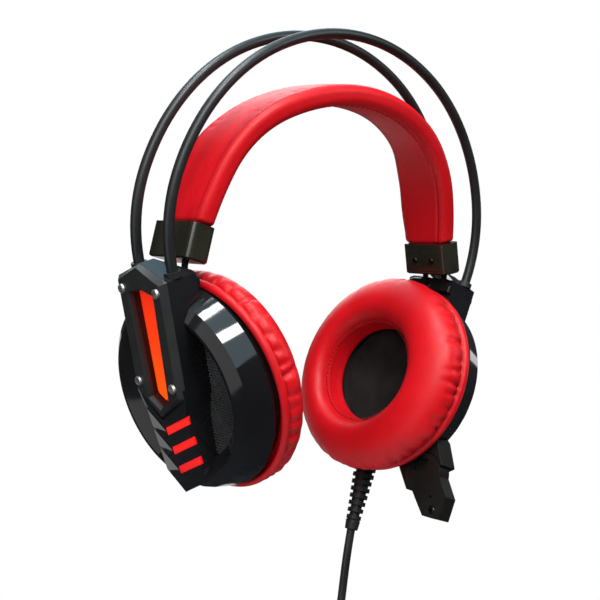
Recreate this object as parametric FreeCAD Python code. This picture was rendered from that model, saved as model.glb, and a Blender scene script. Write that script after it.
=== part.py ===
import FreeCAD, Part
import math
import os

from FreeCAD import Matrix, Placement, Rotation, Vector

# Gaming headset: twin hoops carry two closed-back ear cups, and a padded headband hangs under them
# on elastic cords.  The wearer's left cup (+X) carries the microphone and the cable.
# Millimetres and degrees.  X runs ear to ear, -Y is the front, +Z is up.
# Origin: middle of the underside of the headband pad at its crown, where a head carries it.

# ------------------------------------------------------------------ driving dimensions
HOOP_TOP = 29.9                 # centre line of the hoops above the origin
HOOP_ARCS = [(96.7, 27.4), (86.1, 75.4), (65.6, 113.0)]   # radius, and turn from the crown at its end
HOOP_SPACING = 23.0
HOOP_R = 2.25
ROD_R = 1.4
SLIP = 0.1                      # radial room between pieces that are fitted together
APART = 0.3                     # room between bodies that move past each other

BAND_TOP = 4.3                  # centre line of the headband pad at the crown
BAND_ARCS = [(87.2, 28.1), (52.7, 68.2), (121.8, 88.0)]
BAND_THICK = 8.6
STRIP_THICK = 1.2
PAD_FOOT_Z = -59.4
STRIP_FOOT_Z = -65.5

CAP_CENTRE = Vector(74.5, 0.1, -63.5)
CAP_LEAN = -12.0                # about Y: the foot of the cap stands outwards
CAP_NOD = -4.0                  # about X: the rear of the cap sits lower
CAP_COVER_THICK = 1.8
CAP_SCREW_Y = (-4.2, 6.4)
CAP_SCREW_Z = -0.6              # from the cap's middle
CAP_SCREW_HOLE_R = 0.8
CAP_SIZE = Vector(12.0, 25.6, 14.8)
ELASTIC_X = 77.0
ELASTIC_Y = 6.0
ELASTIC_R = 1.4
ELASTIC_FOOT_Z = -86.0
ELASTIC_HEAD_Z = -61.0

CUP_ORIGIN = Vector(86.8, 0.9, -102.6)     # centre of the front plate's outer face
CUP_TURN = (-3.7, 17.3, -1.6)              # yaw, tilt, roll of the cup's own frame

PLATE_THICK = 2.6
HUB_BACK = -16.9
HUB_COVER_THICK = 2.5
HUB_SCREW_Z = 20.6
RING_Y = -0.8                   # centre of the cup's ring, forward of and below the plate's centre
RING_Z = -27.0
RING_STRETCH = 1.015            # front to back over top to bottom
GRILLE_X = -14.8
BAFFLE_FRONT = -22.9
BAFFLE_BACK = -25.0
PAD_Y = -1.8
PAD_Z = -27.5                   # centre of the driver and of the cushion
PAD_BACK = -27.3
PAD_FACE = -41.2
PAD_STRETCH = 1.053

KEEL_RIDGES = [-42.3, -51.5, -60.7]        # foot of each light on the keel's ridge
KEEL_BAR = 3.6
KEEL_GROOVE = 1.1                # behind the ridge the lights carry on as plain grooves
KEEL_RISE = 6.5
KEEL_HALF = 12.8

MIC_PIVOT = (-36.8, -67.2)      # across (Y) and up (Z) in the cup's frame
MIC_DISC_R = 9.6
MIC_INNER_X = -21.0
MIC_SPLIT_X = -18.0
MIC_OUTER_X = -14.2

CABLE_D = 4.0
CABLE_LENGTH = 2000.0
COIL_R = 23.0                   # to the middle of the turns
COIL_SECTION_R = 8.4
PLUG_SHELL = Vector(12.0, 4.5, 18.6)
PLUG_BODY = Vector(15.6, 8.2, 24.0)

YAW, TILT, ROLL = CUP_TURN
CUP = Placement(CUP_ORIGIN, Rotation(YAW, TILT, ROLL))
X_AXIS = Vector(1, 0, 0)
Y_AXIS = Vector(0, 1, 0)
Z_AXIS = Vector(0, 0, 1)
HERE = Vector(0, 0, 0)

os.makedirs("parts", exist_ok=True)


# ------------------------------------------------------------------ small helpers
def save(name, *shapes):
    """Writes one piece, or one group of identical pieces, as its own STEP."""
    shape = shapes[0] if len(shapes) == 1 else Part.makeCompound(list(shapes))
    solids = shape.Solids
    shape = solids[0] if len(solids) == 1 else Part.makeCompound(solids)
    if not shape.isValid():
        print("not valid:", name)
    shape.exportStep(f"parts/{name}.step")


def mirrored(shape):
    """The wearer's right-hand copy of a left-hand shape."""
    return shape.mirror(HERE, X_AXIS)


def placed(shape):
    """A shape drawn in the cup's frame, put where the wearer's left cup is."""
    copy = shape.copy()
    copy.Placement = CUP.multiply(copy.Placement)
    return copy


def save_pair(name, shape):
    """The same piece in both cups, each in a node of its own."""
    left = placed(shape)
    save(f"{name}_left", left)
    save(f"{name}_right", mirrored(left))


def both(shape):
    left = placed(shape)
    return [left, mirrored(left)]


def prism_x(outline, low, high):
    """Prism along X from an outline of (y, z) points."""
    points = [Vector(low, y, z) for y, z in outline]
    face = Part.Face(Part.makePolygon(points + [points[0]]))
    return face.extrude(Vector(high - low, 0, 0))


def prism_y(outline, low, high):
    """Prism along Y from an outline of (x, z) points."""
    points = [Vector(x, low, z) for x, z in outline]
    face = Part.Face(Part.makePolygon(points + [points[0]]))
    return face.extrude(Vector(0, high - low, 0))


def two_sided(half):
    """An outline symmetric about y = 0 from its half with y >= 0, top to bottom."""
    return half + [(-y, z) for y, z in reversed(half) if y > 0]


def loft(outline_a, x_a, outline_b, x_b):
    """Straight-sided solid between two outlines of (y, z) points."""
    wires = []
    for outline, x in ((outline_a, x_a), (outline_b, x_b)):
        points = [Vector(x, y, z) for y, z in outline]
        wires.append(Part.makePolygon(points + [points[0]]))
    return Part.makeLoft(wires, True, True)


def rod_x(y, z, radius, low, high):
    return Part.makeCylinder(radius, high - low, Vector(low, y, z), X_AXIS)


def oval(profile, centre_z, stretch=RING_STRETCH, centre_y=RING_Y):
    """Turns an (x, r) profile about X, stretches it front to back, and centres it on the cup."""
    points = [Vector(x, 0, r) for x, r in profile]
    face = Part.Face(Part.makePolygon(points + [points[0]]))
    solid = face.revolve(HERE, X_AXIS, 360)
    matrix = Matrix()
    matrix.scale(1.0, stretch, 1.0)
    solid = solid.transformGeometry(matrix)
    solid.translate(Vector(0, centre_y, centre_z))
    return solid


def oval_disc(low, high, ry, rz, centre_z, bore=0.0):
    """Oval plate; the bore is a share of its size."""
    return oval([(low, bore * rz), (high, bore * rz), (high, rz), (low, rz)], centre_z, ry / rz)


def arch_points(top, arcs):
    """Centre, radius, start and end angle of each arc, from the crown down one side."""
    centre = Vector(0, 0, top - arcs[0][0])
    out = []
    start = 0.0
    for i, (radius, end) in enumerate(arcs):
        out.append((centre, radius, start, end))
        turn = math.radians(end)
        tip = centre + Vector(math.sin(turn), 0, math.cos(turn)) * radius
        following = arcs[min(i + 1, len(arcs) - 1)][0]
        centre = tip - Vector(math.sin(turn), 0, math.cos(turn)) * following
        start = end
    return out


def on_arc(centre, radius, degrees, side=1):
    turn = math.radians(degrees)
    return Vector(side * (centre.x + radius * math.sin(turn)), 0, centre.z + radius * math.cos(turn))


def arch_edges(top, arcs, grow=0.0, y=0.0):
    """Edges of an arch from its -X foot over the crown to its +X foot, grown outwards."""
    pieces = arch_points(top, arcs)
    shift = Vector(0, y, 0)
    edges = []
    for side, order in ((-1, list(reversed(pieces))), (1, pieces)):
        for centre, radius, start, end in order:
            first, last = (end, start) if side < 0 else (start, end)
            trio = [on_arc(centre, radius + grow, a, side) for a in (first, (first + last) / 2, last)]
            edges.append(Part.Arc(*[p + shift for p in trio]).toShape())
    return edges


def arch_tube(top, arcs, radius, y):
    """Round bar bent along an arch."""
    path = Part.Wire(arch_edges(top, arcs, 0.0, y))
    start = path.OrderedVertexes[0].Point
    first = path.OrderedEdges[0]
    along = first.tangentAt(first.FirstParameter)
    circle = Part.Wire(Part.makeCircle(radius, start, along))
    return path.makePipeShell([circle], True, False)


def arch_sheet(top, arcs, low, high, y_low, y_high):
    """Sheet bent along an arch, from offset low to offset high, as wide as y_low to y_high."""
    outer = arch_edges(top, arcs, high, y_low)
    inner = arch_edges(top, arcs, low, y_low)
    ends = []
    for index in (0, -1):
        a = outer[index].Vertexes[0 if index == 0 else 1].Point
        b = inner[index].Vertexes[0 if index == 0 else 1].Point
        ends.append(Part.LineSegment(a, b).toShape())
    wire = Part.Wire(Part.__sortEdges__(outer + inner + ends))
    return Part.Face(wire).extrude(Vector(0, y_high - y_low, 0))


def pan_screw(head_r, head_h, shank_r, shank_l):
    """Pan-head cross-recess screw; its head starts at x = 0 and rises along +X."""
    head = Part.makeCylinder(head_r, head_h, HERE, X_AXIS)
    head = head.makeFillet(head_h * 0.55, [e for e in head.Edges if e.BoundBox.XMin > head_h * 0.9])
    arm = head_r * 1.1
    slot = head_r * 0.26
    for y, z in ((arm, slot), (slot, arm)):
        recess = Part.makeBox(head_h, y, z, Vector(head_h * 0.45, -y / 2, -z / 2))
        head = head.cut(recess)
    shank = Part.makeCylinder(shank_r, shank_l, Vector(-shank_l, 0, 0), X_AXIS)
    return head.fuse(shank)


# ------------------------------------------------------------------ hoops
def hoops():
    rods = []
    for name, side in (("hoop_front", -1), ("hoop_rear", 1)):
        y = side * HOOP_SPACING / 2
        bore = arch_tube(HOOP_TOP, HOOP_ARCS, ROD_R + SLIP, y)
        save(name, arch_tube(HOOP_TOP, HOOP_ARCS, HOOP_R, y).cut(bore))
        rods.append(arch_tube(HOOP_TOP, HOOP_ARCS, ROD_R, y))
    save("hoop_rods", *rods)


def hoop_room(room):
    """Space round both hoops' right-hand ends, in the cup's frame."""
    tubes = []
    for side in (-1, 1):
        tubes.append(arch_tube(HOOP_TOP, HOOP_ARCS, HOOP_R + room, side * HOOP_SPACING / 2))
    room_shape = Part.makeCompound(tubes)
    room_shape.Placement = CUP.inverse().multiply(room_shape.Placement)
    return room_shape


# ------------------------------------------------------------------ headband
def headband():
    half = BAND_THICK / 2
    pad = arch_sheet(BAND_TOP, BAND_ARCS, -half, half, -22, 18)
    plan = [(-20, 12), (-19.5, 0), (-15.5, -20), (-12.6, -42), (-10.6, PAD_FOOT_Z),
            (12.6, PAD_FOOT_Z), (15.2, -42), (14, -22), (8, -6), (4, 2), (3, 12)]
    pad = pad.common(prism_x(plan, -90, 90))
    strip_half = STRIP_THICK / 2
    narrow = [(-11.0, 12), (-9.0, -40), (-7.0, STRIP_FOOT_Z), (9.0, STRIP_FOOT_Z),
              (7.0, -20), (0.5, 4), (0.5, 12)]
    strip = arch_sheet(BAND_TOP, BAND_ARCS, -strip_half, strip_half, -12, 12)
    strip = strip.common(prism_x(narrow, -90, 90))
    for hole in cap_screw_holes():
        strip = strip.cut(hole).cut(mirrored(hole))
    slack = [(-11.1, 13), (-9.1, -40), (-7.0, -68), (9.3, -68), (7.1, -20), (0.6, 4), (0.6, 13)]
    room = arch_sheet(BAND_TOP, BAND_ARCS, -strip_half - SLIP, strip_half + SLIP, -13, 13)
    room = room.common(prism_x(slack, -90, 90))
    pad = pad.cut(room)
    save("headband_pad", pad)
    save("headband_strip", strip)
    return pad.fuse(strip)


CAP_FRAME = Placement(CAP_CENTRE, Rotation(Y_AXIS, CAP_LEAN).multiply(Rotation(X_AXIS, CAP_NOD)))


def cap_screw_holes():
    """Holes for the screws that clamp the inner cover and the strip in the left-hand cap."""
    holes = []
    for y in CAP_SCREW_Y:
        hole = rod_x(y, CAP_SCREW_Z, CAP_SCREW_HOLE_R, -CAP_SIZE.x / 2 - 1, -CAP_SIZE.x / 2 + 6.5)
        hole.Placement = CAP_FRAME.multiply(hole.Placement)
        holes.append(hole)
    return holes


def end_caps(band):
    """Caps at the feet of the headband: a box open at the top, with a screwed inner cover."""
    size = CAP_SIZE
    box = Part.makeBox(size.x, size.y, size.z, Vector(-size.x / 2, -size.y / 2, -size.z / 2))
    front_edges = [e for e in box.Edges
                   if abs(e.BoundBox.ZLength - size.z) < 0.01 and e.BoundBox.YMin < 0]
    box = box.makeFillet(3.6, front_edges)
    rim = [e for e in box.Edges if e.BoundBox.ZMax < -size.z / 2 + 0.01]
    box = box.makeChamfer(0.7, rim)
    cover = Part.makeBox(CAP_COVER_THICK, size.y - 7.6, size.z - 3.4,
                         Vector(-size.x / 2, -size.y / 2 + 4.4, -size.z / 2 + 1.7))
    seat = Part.makeBox(CAP_COVER_THICK + SLIP, size.y - 7.4, size.z - 3.2,
                        Vector(-size.x / 2 - SLIP, -size.y / 2 + 4.3, -size.z / 2 + 1.6))
    screws = []
    for y in CAP_SCREW_Y:
        screw = pan_screw(1.5, 0.8, 0.75, 5.5)
        screw.rotate(HERE, Z_AXIS, 180)
        screw.translate(Vector(-size.x / 2, y, CAP_SCREW_Z))
        screws.append(screw)
    box = box.cut(seat)
    for shape in [box, cover] + screws:
        shape.Placement = CAP_FRAME.multiply(shape.Placement)
    for hole in cap_screw_holes():
        box = box.cut(hole)
        cover = cover.cut(hole)
    cover = cover.cut(band)
    for side_y in (-1, 1):
        cord = Part.makeCylinder(ELASTIC_R + SLIP, 12, Vector(ELASTIC_X, side_y * ELASTIC_Y, -72), Z_AXIS)
        box = box.cut(cord)
    box = max(box.cut(band).Solids, key=lambda s: s.Volume)
    save("end_cap_left", box)
    save("end_cap_right", mirrored(box))
    save("end_cap_cover_left", cover)
    save("end_cap_cover_right", mirrored(cover))
    save("end_cap_screws", *screws, *[mirrored(s) for s in screws])


def elastic_solids(radius, low, high):
    return [Part.makeCylinder(radius, high - low, Vector(ELASTIC_X, side * ELASTIC_Y, low), Z_AXIS)
            for side in (-1, 1)]


def elastics():
    cords = elastic_solids(ELASTIC_R, ELASTIC_FOOT_Z, ELASTIC_HEAD_Z)
    save("elastic_cords_left", *cords)
    save("elastic_cords_right", *[mirrored(c) for c in cords])


def elastic_room(radius, low, high):
    """Space round the elastic cords, in the cup's frame."""
    shape = Part.makeCompound(elastic_solids(radius, low, high))
    shape.Placement = CUP.inverse().multiply(shape.Placement)
    return shape


# ------------------------------------------------------------------ hub, plate and keel
PLATE_FACE = two_sided([(0, 29.4), (13.1, 23.1), (12.9, -23.4), (0, -33.6)])
PLATE_FOOT = two_sided([(0, 30.5), (15.7, 24.1), (15.5, -24.2), (0, -35.2)])
HUB_OUTLINE = two_sided([(0, 30.6), (15.8, 24.2), (15.8, -24.2), (KEEL_HALF, -34.5),
                         (KEEL_HALF, -62.6), (0, -69.4)])
WINDOW_FACE = two_sided([(0, 20.8), (8.5, 18.6), (6.6, -26.4), (0, -31.0)])
WINDOW_FOOT = two_sided([(0, 19.8), (7.7, 17.9), (5.8, -25.9), (0, -29.8)])
SCREW_YZ = [(y, z) for y in (-11.0, 11.0) for z in (-19.6, 19.8)]


def keel_block(sink=0.0):
    """Spine below the plate: a shallow V in section, its ridge leaning inwards towards the tip."""
    sections = []
    for z in (-20.0, -72.0):
        ridge = 0.2 - (-33.6 - z) * 0.155 - sink
        points = [Vector(HUB_BACK, -20, z), Vector(ridge - 4.2, -20, z), Vector(ridge, 0, z),
                  Vector(ridge - 4.2, 20, z), Vector(HUB_BACK, 20, z)]
        sections.append(Part.makePolygon(points + [points[0]]))
    return Part.makeLoft(sections, True, True)


def slanted_bar(lower, upper, side):
    """Upright prism of a bar that climbs from the keel's ridge, to the front (-1) or the rear (1)."""
    reach = KEEL_HALF + 2
    rise = KEEL_RISE * reach / KEEL_HALF
    reach *= side
    outline = [(0, lower), (reach, lower + rise), (reach, upper + rise), (0, upper)]
    return prism_x(outline, -12, 6)


def hub_outline_prism(low, high, grow=0.0):
    outline = [(y + math.copysign(grow, y) if y else 0.0, z + (grow if z > 0 else -grow))
               for y, z in HUB_OUTLINE]
    return prism_x(outline, low, high)


def hub():
    body = prism_x(two_sided([(0, 30.6), (15.8, 24.2), (15.8, -24.2), (0, -34.6)]), HUB_BACK, -PLATE_THICK)
    keel = keel_block().common(hub_outline_prism(HUB_BACK, 6))
    keel = keel.cut(prism_x([(y * 1.01, z) for y, z in PLATE_FOOT], -PLATE_THICK, 6))
    body = body.fuse(keel).removeSplitter()
    for foot in KEEL_RIDGES:
        seat = slanted_bar(foot - 0.05, foot + KEEL_BAR + 0.05, -1)
        groove = slanted_bar(foot + KEEL_BAR - KEEL_GROOVE, foot + KEEL_BAR, 1)
        body = body.cut(seat.cut(keel_block(1.7)))
        body = body.cut(groove.cut(keel_block(1.2)))
    # the inner top edge is cut away, to clear the headband's cap
    slope = [(-9.0, 33.0), (-9.0, 31.0), (HUB_BACK - 1, 24.4), (HUB_BACK - 1, 33.0)]
    body = body.cut(prism_y(slope, -20, 20))
    pocket = two_sided([(0, 21.6), (8.8, 19.2), (8.2, -25.8), (0, -30.8)])
    body = body.cut(prism_x(pocket, -11.5, -PLATE_THICK))
    for y, z in SCREW_YZ:
        body = body.cut(rod_x(y, z, 1.0, -6.8, 0))
    body = body.cut(hoop_room(SLIP))
    body = body.cut(elastic_room(ELASTIC_R + 0.5, ELASTIC_FOOT_Z - 2, -60))
    body = body.cut(rod_x(0, HUB_SCREW_Z, 0.9, HUB_BACK, HUB_BACK + 5))
    return max(body.Solids, key=lambda s: s.Volume)


def plate():
    body = loft(PLATE_FOOT, -PLATE_THICK, PLATE_FACE, 0)
    body = body.cut(loft(WINDOW_FOOT, -1.6, WINDOW_FACE, 0.001))
    body = body.cut(prism_x(WINDOW_FOOT, -4, -1.5))
    for y, z in SCREW_YZ:
        body = body.cut(rod_x(y, z, 1.1, -4, 1))
        body = body.cut(rod_x(y, z, 2.25, -0.4, 1))
    return body


def plate_screws():
    screws = []
    for y, z in SCREW_YZ:
        screw = pan_screw(2.1, 1.5, 0.95, 5.8)
        screw.translate(Vector(-0.4, y, z))
        screws += both(screw)
    save("plate_screws", *screws)


def light_strip():
    """Lit lens behind the window, crowned along its length, on a flange that the pocket holds."""
    lens = loft(two_sided([(0, 19.2), (5.6, 17.8), (4.9, -25.4), (0, -28.6)]), -6.0,
                two_sided([(0, 18.4), (4.4, 17.2), (3.7, -24.9), (0, -27.4)]), -3.6)
    flange = prism_x(two_sided([(0, 21.2), (8.4, 18.9), (7.8, -25.6), (0, -30.3)]), -7.2, -6.0)
    return lens.fuse(flange).removeSplitter()


def led_board():
    board = prism_x(two_sided([(6.0, 17.0), (6.0, -24.0)]), -10.6, -9.4)
    lamps = [Part.makeBox(1.4, 3.5, 2.8, Vector(-9.4, -1.75, z - 1.4)) for z in range(-20, 17, 9)]
    return board.multiFuse(lamps)


def keel_lights():
    bars = []
    for foot in KEEL_RIDGES:
        bar = slanted_bar(foot, foot + KEEL_BAR, -1)
        bar = bar.common(keel_block(0.45)).cut(keel_block(1.7))
        bars.append(bar.common(hub_outline_prism(HUB_BACK, 6, -0.1)))
    return bars


def hub_cover():
    """Inner cover of the hub above the ring, screwed on from the head's side."""
    outline = two_sided([(0, 24.0), (10.5, 24.0), (15.2, 21.8), (15.2, 18.2), (0, 18.2)])
    cover = prism_x(outline, HUB_BACK - HUB_COVER_THICK, HUB_BACK)
    rim = [e for e in cover.Edges if e.BoundBox.XMax < HUB_BACK - HUB_COVER_THICK + 0.01]
    cover = cover.makeChamfer(0.6, rim)
    cover = cover.cut(elastic_room(ELASTIC_R + 0.5, ELASTIC_FOOT_Z - 2, -60))
    seat = rod_x(0, HUB_SCREW_Z, 1.9, HUB_BACK - HUB_COVER_THICK - 1, HUB_BACK - HUB_COVER_THICK + 0.9)
    return cover.cut(seat).cut(rod_x(0, HUB_SCREW_Z, 0.9, -30, 0))


def hub_cover_screws():
    screw = pan_screw(1.7, 0.8, 0.8, 5.0)
    screw.rotate(HERE, Z_AXIS, 180)
    screw.translate(Vector(HUB_BACK - HUB_COVER_THICK + 0.9, 0, HUB_SCREW_Z))
    save("hub_cover_screws", *both(screw))


# ------------------------------------------------------------------ ear cup
RING_OUTSIDE = [(-7.4, 36.8), (-10.8, 41.1), (-20.4, 44.3), (-22.8, 43.0)]
RING_INSIDE = [(-22.8, 40.2), (-15.4, 41.0), (-12.6, 39.6), (-9.6, 36.4), (-14.7, 31.2),
               (-14.7, 29.2), (-13.2, 29.2), (-7.4, 35.4)]


def ring_flats():
    """Tapered prism whose flats break the lower half of the ring's side into facets."""
    count = 15
    (x_a, r_a), (x_b, r_b) = RING_OUTSIDE[1:3]
    outlines = []
    for x in (-30, 0):
        radius = 1.001 * (r_a + (r_b - r_a) * (x - x_a) / (x_b - x_a))
        outline = [(radius * RING_STRETCH, 12), (-radius * RING_STRETCH, 12)]
        for i in range(count + 1):
            turn = math.pi + math.pi * i / count
            outline.append((radius * RING_STRETCH * math.cos(turn), radius * math.sin(turn)))
        outlines.append([(y + RING_Y, z + RING_Z) for y, z in outline])
    lower = loft(outlines[0], -30, outlines[1], 0)
    upper = prism_x([(-60, RING_Z), (60, RING_Z), (60, 60), (-60, 60)], -30, 0)
    return lower.fuse(upper)


def ring_solid():
    """The cup's ring with nothing inside, for cutting its neighbours."""
    profile = [(-24, 0), (-0.1, 0), (-0.1, 36.9)] + RING_OUTSIDE[1:3] + [(-24, 43.0)]
    return oval(profile, RING_Z)


def screw_places():
    """Centres of the four screws that hold the baffle to the shell."""
    places = []
    for degrees in (45, 135, 225, 315):
        turn = math.radians(degrees)
        places.append((RING_Y + 37.8 * math.cos(turn), RING_Z + 37.2 * math.sin(turn)))
    return places


def shell():
    body = oval(RING_OUTSIDE + RING_INSIDE, RING_Z)
    posts = [rod_x(y, z, 3.0, -22.8, -12.2) for y, z in screw_places()]
    body = body.multiFuse(posts).removeSplitter()
    body = body.common(ring_flats())
    for y, z in screw_places():
        body = body.cut(rod_x(y, z, 1.0, -23, -15))
    body = body.cut(hub_outline_prism(HUB_BACK, 8, 0.08))
    body = body.cut(elastic_room(ELASTIC_R + 0.5, ELASTIC_FOOT_Z - 2, -60))
    return max(body.Solids, key=lambda s: s.Volume)


def grille():
    """Slotted screens at the bottom of the recess, one each side of the spine."""
    panel = oval_disc(GRILLE_X - 1.0, GRILLE_X, 31.3, 30.9, RING_Z)
    slots = []
    for i in range(17):
        z = RING_Z - 24 + 3 * i
        slots.append(Part.makeBox(4, 80, 1.3, Vector(GRILLE_X - 2, -40, z - 0.65)))
    inside = oval_disc(GRILLE_X - 3, GRILLE_X + 2, 28.4, 28.0, RING_Z)
    cutter = Part.makeCompound(slots).common(inside)
    panel = panel.cut(cutter)
    return panel.cut(hub_outline_prism(HUB_BACK - 1, 8, 0.1))


def baffle():
    body = oval_disc(BAFFLE_BACK, BAFFLE_FRONT, 42.0, 41.4, RING_Z)
    body = body.cut(rod_x(RING_Y, PAD_Z, 19.0, -30, -20))
    for y, z in screw_places():
        body = body.cut(rod_x(y, z, 1.1, -30, -20))
        body = body.cut(rod_x(y, z, 1.9, -30, BAFFLE_BACK + 1.1))
    return body


def baffle_screws():
    screws = []
    for y, z in screw_places():
        screw = pan_screw(1.7, 0.9, 0.9, 7.0)
        screw.rotate(HERE, Z_AXIS, 180)
        screw.translate(Vector(BAFFLE_BACK + 1.1, y, z))
        screws += both(screw)
    save("baffle_screws", *screws)


def driver():
    frame_ring = rod_x(RING_Y, PAD_Z, 21.0, BAFFLE_FRONT, BAFFLE_FRONT + 1.2)
    neck = rod_x(RING_Y, PAD_Z, 18.9, BAFFLE_BACK + 0.2, BAFFLE_FRONT)
    hollow = rod_x(RING_Y, PAD_Z, 17.6, BAFFLE_BACK, BAFFLE_FRONT + 0.4)
    frame_shape = frame_ring.fuse(neck).removeSplitter().cut(hollow)
    magnet = rod_x(RING_Y, PAD_Z, 12.5, BAFFLE_FRONT + 1.2, HUB_BACK - 0.6)
    save_pair("driver_frame", frame_shape)
    save("driver_magnets", *both(magnet))
    dome = Part.makeSphere(26.0, Vector(BAFFLE_FRONT + 24.6, RING_Y, PAD_Z))
    inside = Part.makeSphere(25.7, Vector(BAFFLE_FRONT + 24.6, RING_Y, PAD_Z))
    dome = dome.cut(inside).common(rod_x(RING_Y, PAD_Z, 8.0, BAFFLE_BACK, BAFFLE_FRONT))
    flat = rod_x(RING_Y, PAD_Z, 17.4, BAFFLE_FRONT - 0.6, BAFFLE_FRONT - 0.3)
    cone = flat.cut(rod_x(RING_Y, PAD_Z, 7.6, -30, -20)).fuse(dome)
    save("diaphragms", *both(max(cone.Solids, key=lambda s: s.Volume)))


def ear_pad():
    """Cushion: a fat ring with rounded shoulders, a skirt that wraps the baffle, and an oval hole."""
    profile = [(-23.3, 42.7), (-23.3, 45.6), (-26.0, 47.2), (-29.3, 47.9), (-32.5, 47.2),
               (-35.5, 45.0), (-38.2, 41.2), (-40.2, 36.2), (PAD_FACE, 31.0), (PAD_FACE, 12.0),
               (PAD_BACK, 12.0), (PAD_BACK, 42.7)]
    body = oval(profile, PAD_Z, PAD_STRETCH, PAD_Y)
    hole = loft_ovals([(-44, 27.0, 26.0), (-37, 24.9, 23.9), (PAD_BACK + 1, 23.6, 22.6)], PAD_Y, PAD_Z - 0.9)
    return body.cut(hole)


def loft_ovals(sections, centre_y, centre_z):
    wires = []
    for x, ry, rz in sections:
        major, minor, turn = (rz, ry, 90) if rz > ry else (ry, rz, 0)
        ellipse = Part.Ellipse(HERE, major, minor).toShape()
        ellipse.rotate(HERE, Z_AXIS, turn)
        ellipse.rotate(HERE, Y_AXIS, 90)
        ellipse.rotate(HERE, X_AXIS, 90)
        ellipse.translate(Vector(x, centre_y, centre_z))
        wires.append(Part.Wire(ellipse))
    return Part.makeLoft(wires, True, True)


def cups():
    hub_body = hub()
    save_pair("hub", hub_body)
    save_pair("front_plate", plate())
    plate_screws()
    save_pair("light_strip", light_strip())
    save("led_boards", *both(led_board()))
    bars = keel_lights()
    left = [placed(bar) for bar in bars]
    save("keel_lights_left", *left)
    save("keel_lights_right", *[mirrored(bar) for bar in left])
    save_pair("hub_cover", hub_cover())
    hub_cover_screws()
    body = shell()
    mic_room = rod_x(MIC_PIVOT[0], MIC_PIVOT[1], MIC_DISC_R + 0.4, -24, 0)
    save("cup_shell_left", placed(body.cut(mic_room)))
    save("cup_shell_right", mirrored(placed(body)))
    save_pair("grille", grille())
    save_pair("baffle", baffle())
    baffle_screws()
    driver()
    save_pair("speaker_screen", oval_disc(-26.0, BAFFLE_BACK, 27.4, 26.6, PAD_Z))
    save_pair("pad_ring", oval_disc(-26.9, BAFFLE_BACK, 42.2, 41.0, RING_Z, 0.7))
    save_pair("ear_pad", ear_pad())


# ------------------------------------------------------------------ hoop collars and elastic guides
def collars():
    """Rubber grommets where the hoops enter the hubs' roofs."""
    rings = []
    axis_in_cup = CUP.Rotation.inverted()
    for side in (-1, 1):
        spot = hoop_at_roof(side)
        local = CUP.inverse().multVec(spot[0])
        along = axis_in_cup.multVec(spot[1])
        ring = Part.makeCylinder(3.4, 2.4, local - along * 1.2, along)
        ring = ring.cut(hoop_room(SLIP))
        ring = ring.cut(hub())
        ring = max(ring.Solids, key=lambda s: s.Volume)
        rings += both(ring)
    save("hoop_collars", *rings)


def hoop_at_roof(side):
    """Where a hoop's centre line crosses its hub's roof: the point and the direction."""
    centre, radius, start, end = arch_points(HOOP_TOP, HOOP_ARCS)[-1]
    y = side * HOOP_SPACING / 2
    steps = 400
    for i in range(steps):
        turn = start + (end - start) * i / steps
        point = on_arc(centre, radius, turn) + Vector(0, y, 0)
        local = CUP.inverse().multVec(point)
        roof = 30.6 - abs(local.y) * (30.6 - 24.2) / 15.8
        if local.z < roof + 0.6:
            break
    return point, Vector(math.cos(math.radians(turn)), 0, -math.sin(math.radians(turn)))


# ------------------------------------------------------------------ microphone
MIC_Y, MIC_Z = MIC_PIVOT


def mic_bracket():
    """Seat on the ring's lower front: a curved socket and a cheek that carries the pivot."""
    outline = [(-19, -56), (-21.0, -67.7), (-29.5, -76.2), (-31.8, -76.2), (MIC_Y, MIC_Z),
               (-45.8, -61.0), (-45.2, -59.9), (-38.5, -50.3), (-30, -45)]
    body = prism_x(outline, MIC_INNER_X, -11.6)
    cheek = rod_x(MIC_Y, MIC_Z, 7.4, MIC_OUTER_X + 0.5, -11.6)
    body = body.cut(rod_x(MIC_Y, MIC_Z, MIC_DISC_R + APART, MIC_INNER_X - 1, MIC_OUTER_X + 0.5))
    body = body.fuse(cheek).removeSplitter()
    body = body.cut(ring_solid())
    body = body.cut(rod_x(MIC_Y, MIC_Z, 1.6, -22, -10))
    return max(body.Solids, key=lambda s: s.Volume)


def mic_blade(low, high):
    disc = rod_x(MIC_Y, MIC_Z, MIC_DISC_R, low, high)
    blade = [(MIC_Y, MIC_Z), (-46.3, -66.0), (-53.9, -74.0), (-53.8, -84.3), (-43.6, -85.1), (-33.1, -75.9)]
    return disc.fuse(prism_x(blade, low, high)).removeSplitter()


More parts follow.
